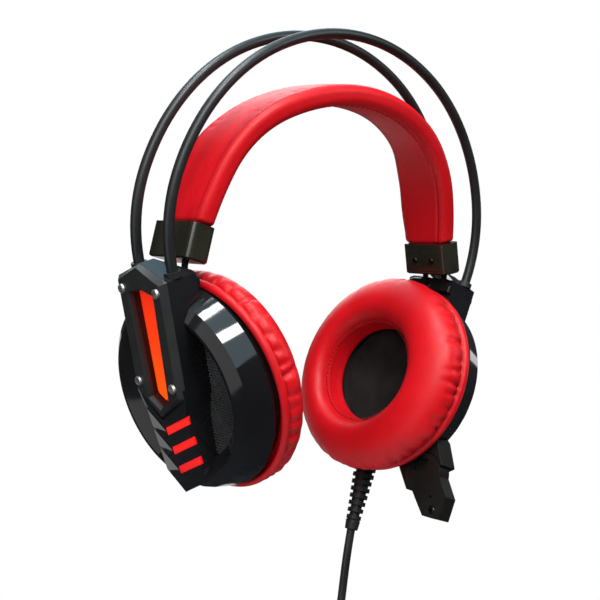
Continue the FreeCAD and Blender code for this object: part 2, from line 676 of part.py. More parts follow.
def microphone():
    bracket = mic_bracket()
    save("mic_bracket", placed(bracket))
    pin = rod_x(MIC_Y, MIC_Z, 1.6, MIC_SPLIT_X + 1.0, -12.0)
    pin = pin.fuse(rod_x(MIC_Y, MIC_Z, 3.0, MIC_SPLIT_X + 0.1, MIC_SPLIT_X + 1.0)).removeSplitter()
    save("mic_pivot_pin", placed(pin))
    housing = mic_blade(MIC_SPLIT_X, MIC_OUTER_X)
    housing = housing.cut(rod_x(MIC_Y, MIC_Z, 1.66, -30, 0))
    housing = housing.cut(rod_x(MIC_Y, MIC_Z, 3.1, -30, MIC_SPLIT_X + 1.05))
    capsule_y, capsule_z = -45.0, -76.0
    screw_y, screw_z = -47.8, -81.4
    housing = housing.cut(rod_x(capsule_y, capsule_z, 3.05, MIC_SPLIT_X, MIC_SPLIT_X + 2.8))
    housing = housing.cut(rod_x(screw_y, screw_z, 0.8, MIC_SPLIT_X, MIC_SPLIT_X + 3.0))
    cover = mic_blade(MIC_INNER_X, MIC_SPLIT_X)
    window = Part.makeBox(2.2, 7.6, 6.2, Vector(MIC_INNER_X, -37.4, -66.6))
    cover = cover.cut(window)
    cover = cover.cut(rod_x(capsule_y, capsule_z, 0.7, -30, 0))
    cover = cover.cut(rod_x(screw_y, screw_z, 1.9, MIC_INNER_X - 1, MIC_INNER_X + 0.8))
    cover = cover.cut(rod_x(screw_y, screw_z, 0.9, -30, 0))
    capsule = rod_x(capsule_y, capsule_z, 3.0, MIC_SPLIT_X + 0.05, MIC_SPLIT_X + 2.75)
    screw = pan_screw(1.6, 0.8, 0.75, 4.6)
    screw.rotate(HERE, Z_AXIS, 180)
    screw.translate(Vector(MIC_INNER_X + 0.8, screw_y, screw_z))
    save("mic_housing", placed(housing))
    save("mic_cover", placed(cover))
    save("mic_capsule", placed(capsule))
    save("mic_screw", placed(screw))


# ------------------------------------------------------------------ cable
RELIEF_TOP = Vector(-12.6, 9.9, -67.5)      # in the cup's frame, inside the ring's wall
RELIEF_END = Vector(-12.6, 5.5, -103.2)


def strain_relief():
    """Ribbed, tapering sleeve that carries the cable out of the cup's foot."""
    along = RELIEF_END - RELIEF_TOP
    length = along.Length
    ribs = 7
    collar = 5.0
    neck = 7.0
    profile = [(0, 0), (0, 5.4), (neck, 5.4)]
    pitch = (length - neck - collar) / ribs
    for i in range(ribs):
        top = neck + pitch * i
        radius = 5.2 - 0.27 * i
        core = radius - 1.1
        profile += [(top, core), (top + pitch * 0.45, core), (top + pitch * 0.45, radius),
                    (top + pitch, radius)]
    profile += [(length - collar, 2.9), (length - collar + 0.6, 3.5), (length, 3.1), (length, 0)]
    points = [Vector(x, 0, r) for x, r in profile]
    face = Part.Face(Part.makePolygon(points + [points[0]]))
    body = face.revolve(HERE, X_AXIS, 360)
    body.Placement = Placement(RELIEF_TOP, Rotation(X_AXIS, along))
    body = body.cut(ring_solid())
    return max(body.Solids, key=lambda s: s.Volume)


def rounded_path(points):
    """Straight runs joined by the largest arcs that the runs allow; prints each radius."""
    edges = []
    last = points[0]
    radii = []
    for before, corner, after in zip(points, points[1:], points[2:]):
        run_in = corner - before
        run_out = after - corner
        turn = run_in.getAngle(run_out)
        reach = 0.45 * min(run_in.Length, run_out.Length)
        radii.append(reach / math.tan(turn / 2))
        a = corner - run_in.normalize() * reach
        b = corner + run_out.normalize() * reach
        middle_way = (a + b) * 0.5 - corner
        centre = corner + middle_way.normalize() * (radii[-1] / math.cos(turn / 2))
        middle = centre + (corner - centre).normalize() * radii[-1]
        edges.append(Part.LineSegment(last, a).toShape())
        edges.append(Part.Arc(a, middle, b).toShape())
        last = b
    edges.append(Part.LineSegment(last, points[-1]).toShape())
    print("arc radii", [round(r, 1) for r in radii])
    return Part.Wire(edges)


def cord_tube(points):
    path = rounded_path(points)
    start = points[0]
    circle = Part.Wire(Part.makeCircle(CABLE_D / 2, start, points[1] - points[0]))
    tube = path.makePipeShell([circle], True, False)
    section = math.pi * (CABLE_D / 2) ** 2
    print("tube length", round(path.Length, 1), "volume share", round(tube.Volume / section / path.Length, 4))
    return tube, path.Length


CABLE_START = CUP.multVec(RELIEF_END)
# the visible stretch: out of the sleeve along its own line, then hanging straight down
CABLE_ROUTE = [CABLE_START,
               CABLE_START + Vector(-1.8, -0.8, -11.0),
               CABLE_START + Vector(-2.4, -1.0, -26.0),
               CABLE_START + Vector(-2.6, -1.0, -47.0)]
COIL_CENTRE = CABLE_ROUTE[-1] + Vector(0, 0, -COIL_R - COIL_SECTION_R + 2.0)
COIL_AXIS = Vector(0.743, -0.669, 0)         # the coil hangs in an upright plane
TAIL_ROUTE = [COIL_CENTRE + Vector(0, 0, -COIL_R - COIL_SECTION_R + 2.0),
              COIL_CENTRE + Vector(0.6, 0.6, -COIL_R - COIL_SECTION_R - 11.0),
              COIL_CENTRE + Vector(0.2, 0.2, -COIL_R - COIL_SECTION_R - 26.0)]


def cable():
    tube, length = cord_tube(CABLE_ROUTE)
    save("cable", tube)
    coil = Part.makeTorus(COIL_R, COIL_SECTION_R, COIL_CENTRE, COIL_AXIS)
    save("cable_coil", coil)
    tail, tail_length = cord_tube(TAIL_ROUTE)
    save("cable_tail", tail)
    turns = (CABLE_LENGTH - length - tail_length) / (2 * math.pi * COIL_R)
    print("coil turns", round(turns, 2))
    tie_at = COIL_CENTRE + Vector(0, 0, COIL_R)
    across = COIL_AXIS.cross(Z_AXIS)
    band = Part.makeCylinder(COIL_SECTION_R + 1.6, 9.0, tie_at - across * 4.5, across)
    inside = Part.makeTorus(COIL_R, COIL_SECTION_R + SLIP, COIL_CENTRE, COIL_AXIS)
    band = band.cut(inside)
    band = band.cut(Part.makeCylinder(CABLE_D / 2 + SLIP, 20, tie_at, Z_AXIS))
    save("coil_tie", max(band.Solids, key=lambda s: s.Volume))


def plug():
    """USB-A plug hanging at the end of the cable, its overmould above its metal shell."""
    top = TAIL_ROUTE[-1]
    neck = Part.makeCone(2.6, 4.0, 8.0, top, Vector(0, 0, -1))
    body = Part.makeBox(PLUG_BODY.x, PLUG_BODY.y, PLUG_BODY.z,
                        Vector(-PLUG_BODY.x / 2, -PLUG_BODY.y / 2, -8.0 - PLUG_BODY.z))
    upright = [e for e in body.Edges if abs(e.BoundBox.ZLength - PLUG_BODY.z) < 0.01]
    body = body.makeFillet(2.0, upright)
    body.translate(top)
    foot = top - Vector(0, 0, 8.0 + PLUG_BODY.z)
    save("plug_body", body.fuse(neck).removeSplitter())
    wall = 0.4
    shell_box = Part.makeBox(PLUG_SHELL.x, PLUG_SHELL.y, PLUG_SHELL.z,
                             Vector(-PLUG_SHELL.x / 2, -PLUG_SHELL.y / 2, -PLUG_SHELL.z))
    inside = Part.makeBox(PLUG_SHELL.x - 2 * wall, PLUG_SHELL.y - 2 * wall, PLUG_SHELL.z - 1,
                          Vector(-PLUG_SHELL.x / 2 + wall, -PLUG_SHELL.y / 2 + wall, -PLUG_SHELL.z - 0.5))
    tube = shell_box.cut(inside)
    for x in (-3.2, 1.2):
        window = Part.makeBox(2.0, PLUG_SHELL.y + 2, 2.4, Vector(x, -PLUG_SHELL.y / 2 - 1, -7.6))
        tube = tube.cut(window)
    tube.translate(foot)
    save("plug_shell", tube)
    tongue = Part.makeBox(PLUG_SHELL.x - 2 * wall - 0.2, 1.8, PLUG_SHELL.z - 3,
                          Vector(-PLUG_SHELL.x / 2 + wall + 0.1, -0.1, -PLUG_SHELL.z + 1.5))
    tongue.translate(foot)
    save("plug_tongue", tongue)
    print("plug tip", foot - Vector(0, 0, PLUG_SHELL.z))


# ------------------------------------------------------------------ build
hoops()
solid_band = headband()
end_caps(solid_band)
elastics()
cups()
collars()
microphone()
save("strain_relief", placed(strain_relief()))
cable()
plug()
print("mic pivot", CUP.multVec(Vector(MIC_INNER_X, MIC_Y, MIC_Z)), "axis", CUP.Rotation.multVec(X_AXIS))
print("cable start", CABLE_START)
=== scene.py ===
import math
import random

import bmesh
import bpy
from mathutils import Matrix, Quaternion, Vector
from mathutils.bvhtree import BVHTree


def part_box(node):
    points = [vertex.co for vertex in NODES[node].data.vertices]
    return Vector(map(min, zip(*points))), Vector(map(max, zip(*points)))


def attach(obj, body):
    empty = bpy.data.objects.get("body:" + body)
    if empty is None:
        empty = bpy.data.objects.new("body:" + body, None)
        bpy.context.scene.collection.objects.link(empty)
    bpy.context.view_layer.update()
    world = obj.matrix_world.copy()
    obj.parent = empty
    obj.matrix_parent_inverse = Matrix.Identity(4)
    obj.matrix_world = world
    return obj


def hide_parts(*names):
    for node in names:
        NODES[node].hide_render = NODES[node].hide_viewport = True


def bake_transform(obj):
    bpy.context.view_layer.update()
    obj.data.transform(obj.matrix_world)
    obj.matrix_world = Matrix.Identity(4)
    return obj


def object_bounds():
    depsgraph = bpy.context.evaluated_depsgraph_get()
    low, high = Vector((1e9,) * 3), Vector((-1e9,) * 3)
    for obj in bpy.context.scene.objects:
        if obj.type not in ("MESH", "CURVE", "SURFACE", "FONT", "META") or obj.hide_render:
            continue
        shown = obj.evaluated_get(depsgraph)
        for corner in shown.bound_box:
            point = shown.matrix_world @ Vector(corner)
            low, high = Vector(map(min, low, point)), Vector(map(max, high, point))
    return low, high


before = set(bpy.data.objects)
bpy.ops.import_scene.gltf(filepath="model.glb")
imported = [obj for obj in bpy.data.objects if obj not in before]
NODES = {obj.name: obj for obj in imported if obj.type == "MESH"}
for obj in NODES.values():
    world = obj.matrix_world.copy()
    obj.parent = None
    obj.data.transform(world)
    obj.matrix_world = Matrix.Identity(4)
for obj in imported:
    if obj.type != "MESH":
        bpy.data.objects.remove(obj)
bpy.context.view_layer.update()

MM = 0.001
CUP_TURN = (-3.7, 17.3, -1.6)  # yaw, tilt and roll of the wearer's left cup, in degrees
BOTH = (("left", 1.0), ("right", -1.0))


# ------------------------------ the camera, ahead of the right cup
CAMERA_AT = (-0.34277, -0.37449, -0.04051)
CAMERA_TURN = (-41.700, -5.142, -5.784)  # yaw, pitch and roll, in degrees
CAMERA_LENS = 68.74  # in mm, before a sensor of this width
SENSOR_WIDTH = 36.0
CAMERA_NEAREST = 0.01


def turn_matrix(yaw, pitch, roll):
    return (Matrix.Rotation(math.radians(yaw), 4, "Z")
            @ Matrix.Rotation(math.radians(pitch), 4, "X")
            @ Matrix.Rotation(math.radians(roll), 4, "Y"))


def make_camera():
    data = bpy.data.cameras.new("camera")
    data.lens = CAMERA_LENS
    data.sensor_width = SENSOR_WIDTH
    data.clip_start = CAMERA_NEAREST
    camera = bpy.data.objects.new("camera", data)
    bpy.context.scene.collection.objects.link(camera)
    upright = Matrix.Rotation(math.radians(90), 4, "X")
    camera.matrix_world = Matrix.Translation(CAMERA_AT) @ turn_matrix(*CAMERA_TURN) @ upright
    bpy.context.scene.camera = camera


make_camera()


# ------------------------------ node materials
TONE_EDGES = (0.35, 0.65)  # the noise between which the colour goes from dark to light
POLISH_EDGES = (0.3, 0.7)  # the same for the roughness
TONE_DETAIL = 3.0
POLISH_DETAIL = 4.0
GRAIN_DETAIL = 4.0


class Look:
    """One Principled material whose colour, roughness and relief vary over the surface."""

    def __init__(self, name, roughness, metallic=0.0, specular=0.5):
        self.material = bpy.data.materials.new(name)
        self.material.use_nodes = True
        self.tree = self.material.node_tree
        self.shader = self.tree.nodes["Principled BSDF"]
        self.shader.inputs["Roughness"].default_value = roughness
        self.shader.inputs["Metallic"].default_value = metallic
        self.shader.inputs["Specular IOR Level"].default_value = specular
        self.coords = self.tree.nodes.new("ShaderNodeTexCoord")
        self.height = None

    def node(self, kind, **inputs):
        """A new node; an underscore in an input's name stands for a space."""
        node = self.tree.nodes.new(kind)
        for key, value in inputs.items():
            node.inputs[key.replace("_", " ")].default_value = value
        return node

    def link(self, source, target):
        self.tree.links.new(source, target)

    def texture(self, kind, scale, **inputs):
        """A texture in the object's frame; scale counts its features per metre."""
        node = self.node(kind, Scale=scale, **inputs)
        self.link(self.coords.outputs["Object"], node.inputs["Vector"])
        return node

    def ramp(self, source, stops):
        ramp = self.tree.nodes.new("ShaderNodeValToRGB")
        elements = ramp.color_ramp.elements
        while len(elements) < len(stops):
            elements.new(0.5)
        for element, (place, colour) in zip(elements, stops):
            element.position = place
            element.color = (*colour, 1.0)
        self.link(source, ramp.inputs["Fac"])
        return ramp.outputs["Color"]

    def tones(self, dark, light, scale):
        """Colour that wanders between two tones."""
        noise = self.texture("ShaderNodeTexNoise", scale, Detail=TONE_DETAIL)
        colour = self.ramp(noise.outputs["Fac"], list(zip(TONE_EDGES, (dark, light))))
        self.link(colour, self.shader.inputs["Base Color"])
        return self

    def polish(self, low, high, scale):
        """Roughness that wanders between two values."""
        noise = self.texture("ShaderNodeTexNoise", scale, Detail=POLISH_DETAIL)
        spread = self.node("ShaderNodeMapRange", From_Min=POLISH_EDGES[0], From_Max=POLISH_EDGES[1],
                           To_Min=low, To_Max=high)
        self.link(noise.outputs["Fac"], spread.inputs["Value"])
        self.link(spread.outputs["Result"], self.shader.inputs["Roughness"])
        return self

    def relief(self, source, height, strength):
        """Adds one layer of bump, with its height in metres."""
        bump = self.node("ShaderNodeBump", Strength=strength, Distance=height)
        self.link(source, bump.inputs["Height"])
        if self.height is not None:
            self.link(self.height, bump.inputs["Normal"])
        self.height = bump.outputs["Normal"]
        self.link(self.height, self.shader.inputs["Normal"])
        return self

    def grain(self, scale, height, strength, detail=GRAIN_DETAIL):
        noise = self.texture("ShaderNodeTexNoise", scale, Detail=detail)
        return self.relief(noise.outputs["Fac"], height, strength)

    def pebbles(self, scale, height, strength):
        cells = self.texture("ShaderNodeTexVoronoi", scale)
        return self.relief(cells.outputs["Distance"], height, strength)

    def weave(self, scale, height, strength=0.8):
        """Plain weave: two sets of threads, crossing."""
        crossing = self.tree.nodes.new("ShaderNodeMath")
        crossing.operation = "MULTIPLY"
        for socket, axis in zip(crossing.inputs, ("Y", "Z")):
            wave = self.texture("ShaderNodeTexWave", scale)
            wave.bands_direction = axis
            self.link(wave.outputs["Fac"], socket)
        return self.relief(crossing.outputs["Value"], height, strength)


def red_leather():
    look = Look("red_leather", roughness=0.42, specular=0.24)
    look.tones((0.44, 0.0025, 0.006), (0.54, 0.004, 0.009), scale=28.0)
    look.polish(0.38, 0.48, scale=300.0)
    look.pebbles(scale=1500.0, height=0.00006, strength=0.22)
    return look.grain(scale=240.0, height=0.00012, strength=0.18).material


def gloss_black():
    look = Look("gloss_black", roughness=0.08, specular=0.36)
    look.tones((0.006, 0.006, 0.007), (0.012, 0.012, 0.014), scale=20.0)
    look.polish(0.04, 0.09, scale=40.0)
    return look.grain(scale=30.0, height=0.00002, strength=0.04, detail=0.0).material


def matte_charcoal():
    look = Look("matte_charcoal", roughness=0.5)
    look.tones((0.013, 0.0135, 0.014), (0.020, 0.0205, 0.021), scale=60.0)
    look.polish(0.42, 0.56, scale=600.0)
    return look.grain(scale=2600.0, height=0.00005, strength=0.45).material


def satin_black(name, dark, light, low, high, grain=0.2, specular=0.5):
    look = Look(name, roughness=0.3, specular=specular)
    look.tones(dark, light, scale=50.0)
    look.polish(low, high, scale=180.0)
    return look.grain(scale=1800.0, height=0.00003, strength=grain).material


def rubber_black(name, dark=(0.008, 0.008, 0.009), light=(0.016, 0.016, 0.018), low=0.5, high=0.66):
    look = Look(name, roughness=0.58)
    look.tones(dark, light, scale=110.0)
    look.polish(low, high, scale=500.0)
    return look.grain(scale=1500.0, height=0.00006, strength=0.35).material


def metal(name, dark, light, low, high):
    look = Look(name, roughness=0.25, metallic=1.0)
    look.tones(dark, light, scale=400.0)
    look.polish(low, high, scale=700.0)
    return look.grain(scale=2500.0, height=0.00002, strength=0.3).material


CLOUD_SCALE = 160.0
CLOUD_SHIFT = 0.16  # how far the cloudiness moves the colours along the piece
RIM_STOP = 0.55  # the rim's colour lies here, between the foot's and the top's
FOOT_STOP = 0.08


def lit_plastic(name, top, foot, rim, low_z, high_z, strength):
    """Diffusing plastic lit from behind, changing in colour down its length."""
    look = Look(name, roughness=0.25)
    split = look.tree.nodes.new("ShaderNodeSeparateXYZ")
    look.link(look.coords.outputs["Object"], split.inputs["Vector"])
    along = look.node("ShaderNodeMapRange", From_Min=low_z, From_Max=high_z)
    look.link(split.outputs["Z"], along.inputs["Value"])
    cloud = look.texture("ShaderNodeTexNoise", CLOUD_SCALE, Detail=2.0)
    mix = look.tree.nodes.new("ShaderNodeMath")
    mix.operation = "MULTIPLY_ADD"
    look.link(cloud.outputs["Fac"], mix.inputs[0])
    mix.inputs[1].default_value = CLOUD_SHIFT
    look.link(along.outputs["Result"], mix.inputs[2])
    colour = look.ramp(mix.outputs["Value"], [(FOOT_STOP, foot), (RIM_STOP, rim), (1.0, top)])
    look.link(colour, look.shader.inputs["Base Color"])
    look.link(colour, look.shader.inputs["Emission Color"])
    look.shader.inputs["Emission Strength"].default_value = strength
    return look.grain(scale=900.0, height=0.00003, strength=0.2).material


def woven(name, roughness, specular, dark, light, scale, threads):
    look = Look(name, roughness=roughness, specular=specular)
    look.tones(dark, light, scale=scale)
    return look.weave(scale=threads, height=0.0002).material


def coated(name, roughness, dark, light, scale, grains, height):
    look = Look(name, roughness=roughness)
    look.tones(dark, light, scale=scale)
    return look.grain(scale=grains, height=height, strength=0.4).material


RED = red_leather()
GLOSS = gloss_black()
CHARCOAL = matte_charcoal()
# End cap plastic: the near-black tones are the cap's own colour, and the olive-brown tint in them is a
# painted warm reflection.
CAP = satin_black("cap_plastic", dark=(0.011, 0.0105, 0.007), light=(0.020, 0.019, 0.0125),
                  low=0.18, high=0.21, grain=0.08)
MIC = satin_black("mic_plastic", dark=(0.005, 0.0056, 0.005), light=(0.008, 0.0085, 0.0075),
                  low=0.30, high=0.38, specular=0.26)
INNER = satin_black("inner_plastic", dark=(0.006, 0.006, 0.006), light=(0.010, 0.010, 0.010),
                    low=0.4, high=0.55)
HOOP = satin_black("hoop_sleeve", dark=(0.010, 0.011, 0.012), light=(0.015, 0.016, 0.0165),
                   low=0.32, high=0.40, grain=0.06, specular=0.36)
WIRE = satin_black("screen_wire", dark=(0.03, 0.031, 0.032), light=(0.055, 0.057, 0.06),
                   low=0.25, high=0.35)
RUBBER = rubber_black("rubber", dark=(0.004, 0.004, 0.0045), light=(0.008, 0.008, 0.009))
BLACK_SCREW = metal("black_screw", dark=(0.03, 0.03, 0.03), light=(0.07, 0.07, 0.07),
                    low=0.25, high=0.4)
CABLE = rubber_black("cable_jacket", low=0.36, high=0.48)
SCREW = metal("screw_metal", dark=(0.60, 0.60, 0.58), light=(0.85, 0.85, 0.82),
              low=0.34, high=0.5)
STEEL = metal("steel", dark=(0.35, 0.35, 0.36), light=(0.5, 0.5, 0.52),
              low=0.25, high=0.4)
NICKEL = metal("nickel", dark=(0.55, 0.54, 0.52), light=(0.7, 0.69, 0.67),
               low=0.2, high=0.32)
SCREEN = woven("speaker_cloth", roughness=0.9, specular=0.2, dark=(0.006, 0.006, 0.006),
               light=(0.013, 0.013, 0.013), scale=90.0, threads=900.0)
BRAID = woven("elastic_braid", roughness=0.8, specular=0.3, dark=(0.008, 0.008, 0.008),
              light=(0.02, 0.02, 0.02), scale=900.0, threads=700.0)
BOARD = coated("board_green", roughness=0.4, dark=(0.01, 0.09, 0.03), light=(0.015, 0.14, 0.05),
               scale=300.0, grains=900.0, height=0.00005)
FILM = coated("diaphragm_film", roughness=0.2, dark=(0.30, 0.27, 0.2), light=(0.42, 0.38, 0.30),
              scale=200.0, grains=500.0, height=0.0001)
THREAD = rubber_black("red_thread", dark=(0.30, 0.002, 0.004), light=(0.42, 0.004, 0.008),
                      low=0.6, high=0.75)
TONGUE = satin_black("plug_tongue_plastic", dark=(0.01, 0.02, 0.09), light=(0.015, 0.03, 0.13),
                     low=0.35, high=0.5)

lens_low, lens_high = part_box("light_strip_left")
STRIP_LIGHT = lit_plastic("strip_light", top=(0.76, 0.022, 0.006), foot=(1.0, 0.095, 0.002),
                          rim=(0.86, 0.045, 0.004), low_z=lens_low.z, high_z=lens_high.z, strength=0.6)
keel_low, keel_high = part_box("keel_lights_left")
KEEL_LIGHT = lit_plastic("keel_light", top=(0.90, 0.012, 0.006), foot=(0.72, 0.004, 0.006),
                         rim=(0.90, 0.008, 0.006), low_z=keel_low.z, high_z=keel_high.z, strength=0.42)

FINISHES = {
    "headband_strip": INNER, "end_cap": CAP, "end_cap_cover": CAP, "end_cap_screws": BLACK_SCREW,
    "hoop_front": HOOP, "hoop_rear": HOOP, "hoop_rods": STEEL, "hoop_collars": RUBBER,
    "hub": GLOSS, "hub_cover": MIC, "hub_cover_screws": BLACK_SCREW, "front_plate": CHARCOAL,
    "plate_screws": SCREW, "light_strip": STRIP_LIGHT, "led_boards": BOARD,
    "keel_lights": KEEL_LIGHT, "cup_shell": GLOSS, "baffle": INNER, "baffle_screws": STEEL,
    "driver_frame": INNER, "driver_magnets": NICKEL, "diaphragms": FILM,
    "speaker_screen": SCREEN, "pad_ring": INNER, "mic_bracket": MIC, "mic_pivot_pin": STEEL,
    "mic_housing": MIC, "mic_cover": MIC, "mic_capsule": NICKEL, "mic_screw": BLACK_SCREW,
    "strain_relief": RUBBER, "plug_body": CABLE, "plug_shell": NICKEL, "plug_tongue": TONGUE,
}
BEVELS = {  # rounding of the moulded edges, in millimetres
    "hub": 0.35, "front_plate": 0.25, "end_cap": 0.35, "end_cap_cover": 0.2, "hub_cover": 0.2,
    "cup_shell": 0.18, "mic_bracket": 0.4, "mic_housing": 0.35, "mic_cover": 0.35,
    "keel_lights": 0.2, "strain_relief": 0.2, "plug_body": 0.3,
}


SHARPEST = 28  # an edge is rounded where its faces turn by more than this
SHARPEST_OF = {"cup_shell": 10}
WELD_REACH = 0.002 * MM
FLAT_WEIGHT = 60  # how much the larger faces rule the shading


def bare(node):
    """A node's name without its side."""
    for ending in ("_left", "_right"):
        if node.endswith(ending):
            return node[:-len(ending)]
    return node


def soften(piece, width, sharpest):
    """Rounds a moulded piece's edges where the faces turn by more than an angle."""
    with bpy.context.temp_override(object=piece, active_object=piece):
        bpy.ops.mesh.customdata_custom_splitnormals_clear()
    piece.data.shade_smooth()
    weld = piece.modifiers.new("weld", "WELD")
    weld.merge_threshold = WELD_REACH
    bevel = piece.modifiers.new("bevel", "BEVEL")
    bevel.width = width * MM
    bevel.segments = 2
    bevel.limit_method = "ANGLE"
    bevel.angle_limit = math.radians(sharpest)
    level = piece.modifiers.new("level", "WEIGHTED_NORMAL")
    level.mode = "FACE_AREA_WITH_ANGLE"
    level.weight = FLAT_WEIGHT


for node, piece in NODES.items():
    kind = bare(node)
    if kind not in FINISHES:
        continue
    piece.data.materials.clear()
    piece.data.materials.append(FINISHES[kind])
    if kind in BEVELS:
        soften(piece, BEVELS[kind], SHARPEST_OF.get(kind, SHARPEST))


# ------------------------------ mesh helpers
def add_mesh(name, points, faces, material):
    mesh = bpy.data.meshes.new(name)
    mesh.from_pydata([tuple(p) for p in points], [], faces)
    mesh.validate()
    builder = bmesh.new()
    builder.from_mesh(mesh)
    bmesh.ops.recalc_face_normals(builder, faces=builder.faces)
    builder.to_mesh(mesh)
    builder.free()
    mesh.shade_smooth()
    mesh.materials.append(material)
    piece = bpy.data.objects.new(name, mesh)
    bpy.context.scene.collection.objects.link(piece)
    return piece


def skin(rings, close_rings=False, cap=False, start=0):
    """Faces between rings of points that each close on themselves; start is the first vertex."""
    count = len(rings[0])
    faces = []
    last = len(rings) if close_rings else len(rings) - 1
    for i in range(last):
        a = start + i * count
        b = start + ((i + 1) % len(rings)) * count
        for j in range(count):
            k = (j + 1) % count
            faces.append((a + j, a + k, b + k, b + j))
    if cap:
        faces.append(tuple(start + j for j in reversed(range(count))))
        faces.append(tuple(start + (len(rings) - 1) * count + j for j in range(count)))
    return faces


def flat(rings):
    return [p for ring in rings for p in ring]


def add_tube(points, faces, rings):
    """Adds a tube with closed ends to a mesh in the making."""
    faces += skin(rings, cap=True, start=len(points))
    points += flat(rings)


def tube_rings(path, radius, sides, up=Vector((0.0, 0.0, 1.0))):
    """Rings of a tube along a path."""
    rings = []
    for i, point in enumerate(path):
        along = (path[min(i + 1, len(path) - 1)] - path[max(i - 1, 0)]).normalized()
        side = along.cross(up)
        if side.length < 1e-6:
            side = along.cross(Vector((1.0, 0.0, 0.0)))
        side.normalize()
        over = side.cross(along)
        ring = []
        for j in range(sides):
            turn = 2 * math.pi * j / sides
            ring.append(point + side * (radius * math.cos(turn)) + over * (radius * math.sin(turn)))
        rings.append(ring)
    return rings


def closed_line(controls, count):
    """Closed Catmull-Rom curve through control tuples, sampled evenly in each span."""
    total = len(controls)
    out = []
    for i in range(count):
        at = total * i / count
        k = min(int(at), total - 1)
        t = at - k
        p0, p1, p2, p3 = (Vector(controls[(k + d) % total]) for d in (-1, 0, 1, 2))
        out.append(0.5 * ((2 * p1) + (p2 - p0) * t + (2 * p0 - 5 * p1 + 4 * p2 - p3) * t * t
                          + (3 * p1 - p0 - 3 * p2 + p3) * t ** 3))
    return out


# ------------------------------ the cup's own frame
cup_turn = (Matrix.Rotation(math.radians(CUP_TURN[0]), 3, "Z")
            @ Matrix.Rotation(math.radians(CUP_TURN[1]), 3, "Y")
            @ Matrix.Rotation(math.radians(CUP_TURN[2]), 3, "X"))


def cup_box(node):
    """Box of a left-hand node in the cup's frame: x outwards, y back, z up along the cup."""
    points = [cup_turn.transposed() @ v.co for v in NODES[node].data.vertices]
    low = Vector([min(p[i] for p in points) for i in range(3)])
    high = Vector([max(p[i] for p in points) for i in range(3)])
    return low, high


def from_cup(point, side):
    """A point in the cup's frame, in the row frame; side is 1 for the left cup, -1 for the right."""
    world = cup_turn @ Vector(point)
    return Vector((side * world.x, world.y, world.z))


# ------------------------------ ear cushions
pad_low, pad_high = cup_box("ear_pad_left")
PAD_AROUND = 360
PAD_ACROSS = 72

# section of the cushion: depth from the face in mm, radius as a share of the widest
PAD_SECTION = [
    (18.3, 0.905), (18.3, 0.938), (17.7, 0.954), (16.8, 0.965), (15.6, 0.969), (14.8, 0.946),
    (14.0, 0.974), (11.8, 1.000), (8.8, 0.999), (6.0, 0.970), (3.4, 0.912), (1.4, 0.830),
    (0.2, 0.735), (0.3, 0.660), (1.7, 0.600), (3.8, 0.560), (6.2, 0.536), (6.9, 0.528),
    (7.6, 0.526), (10.6, 0.508), (13.6, 0.492), (14.0, 0.530), (14.0, 0.720), (14.4, 0.880),
]
PAD_BACK = PAD_SECTION[0][0]
SEAM_RING = 5.0  # place in the section of the sewn line beside the skirt
HOLE_SEAM_RING = 17.0  # place of the seam inside the hole

# how each cushion sits: thickness at its top and foot and radius at its top and foot, as shares,
# and a shift to the rear in mm
PAD_FIT = {"left": (1.13, 1.12, 0.965, 0.99, 3.2), "right": (0.93, 0.80, 0.985, 0.955, 0.4)}
SKIRT_MM = 5  # depth from the back over which the radius reaches its share
HOLE_SHARE = 0.75  # the hole is what lies within this share of the radius
HOLE_BLEND = 0.2  # share of the radius over which it begins
HOLE_MM = 12  # depth at which its walls have settled
HOLE_SHIFT = 3.0  # it sits behind the middle of the cushion, in mm
MOUTH_SHIFT = 0.4  # share of that shift at its mouth
MOUTH_NARROWER = 0.035
HOLE_LONGER = 0.05
HOLE_DROP = 0.9 * MM
FOLD_SINK = 0.3  # how far a fold sinks, as a share of how far it is drawn in

GATHERS = 47
GATHER_MOST = 3.3 * MM
GATHER_REACH = 7.0  # places of the section that the gathers run over
GATHER_START = 0.7
GATHER_WINDOW = 0.14  # angle beyond which a gather no longer shows
SKIRT_GATHER = 0.35 * MM  # the same gathers on the skirt's side of the seam
SKIRT_REACH = 2.2
SKIRT_PACE = 1.4
SPACING_OFF = 0.24  # how unevenly the gathers are spaced
DEEP_RANGE = (0.45, 1.0)
LENGTH_RANGE = (3.4, 5.6)  # in places of the section
SLANT_RANGE = (-0.018, 0.018)
WIDTH_RANGE = (0.018, 0.030)
WIDENING = 0.18  # how much wider a gather gets from one place to the next
FADING = 1.4


def gather_table(seed):
    """Where each gather lies, how deep and long it is, how far it slants, and its width."""
    rng = random.Random(seed)
    table = []
    for i in range(GATHERS):
        angle = 2 * math.pi * (i + rng.uniform(-SPACING_OFF, SPACING_OFF)) / GATHERS
        deep = rng.uniform(*DEEP_RANGE)
        reach = rng.uniform(*LENGTH_RANGE)
        slant = rng.uniform(*SLANT_RANGE)
        width = rng.uniform(*WIDTH_RANGE)
        table.append((angle, deep, reach, slant, width))
    return table


def gather_depth(table, angle, along):
    """Depth of the gathers at an angle, a number of places of the section after the seam."""
    depth = 0.0
    for at, deep, reach, slant, width in table:
        gap = (angle - at - slant * along + math.pi) % (2 * math.pi) - math.pi
        if abs(gap) < GATHER_WINDOW:
            fade = max(0.0, 1.0 - along / reach)
            spread = width * (1.0 + WIDENING * along)
            depth += deep * fade ** FADING * math.exp(-(gap / spread) ** 2)
    return depth


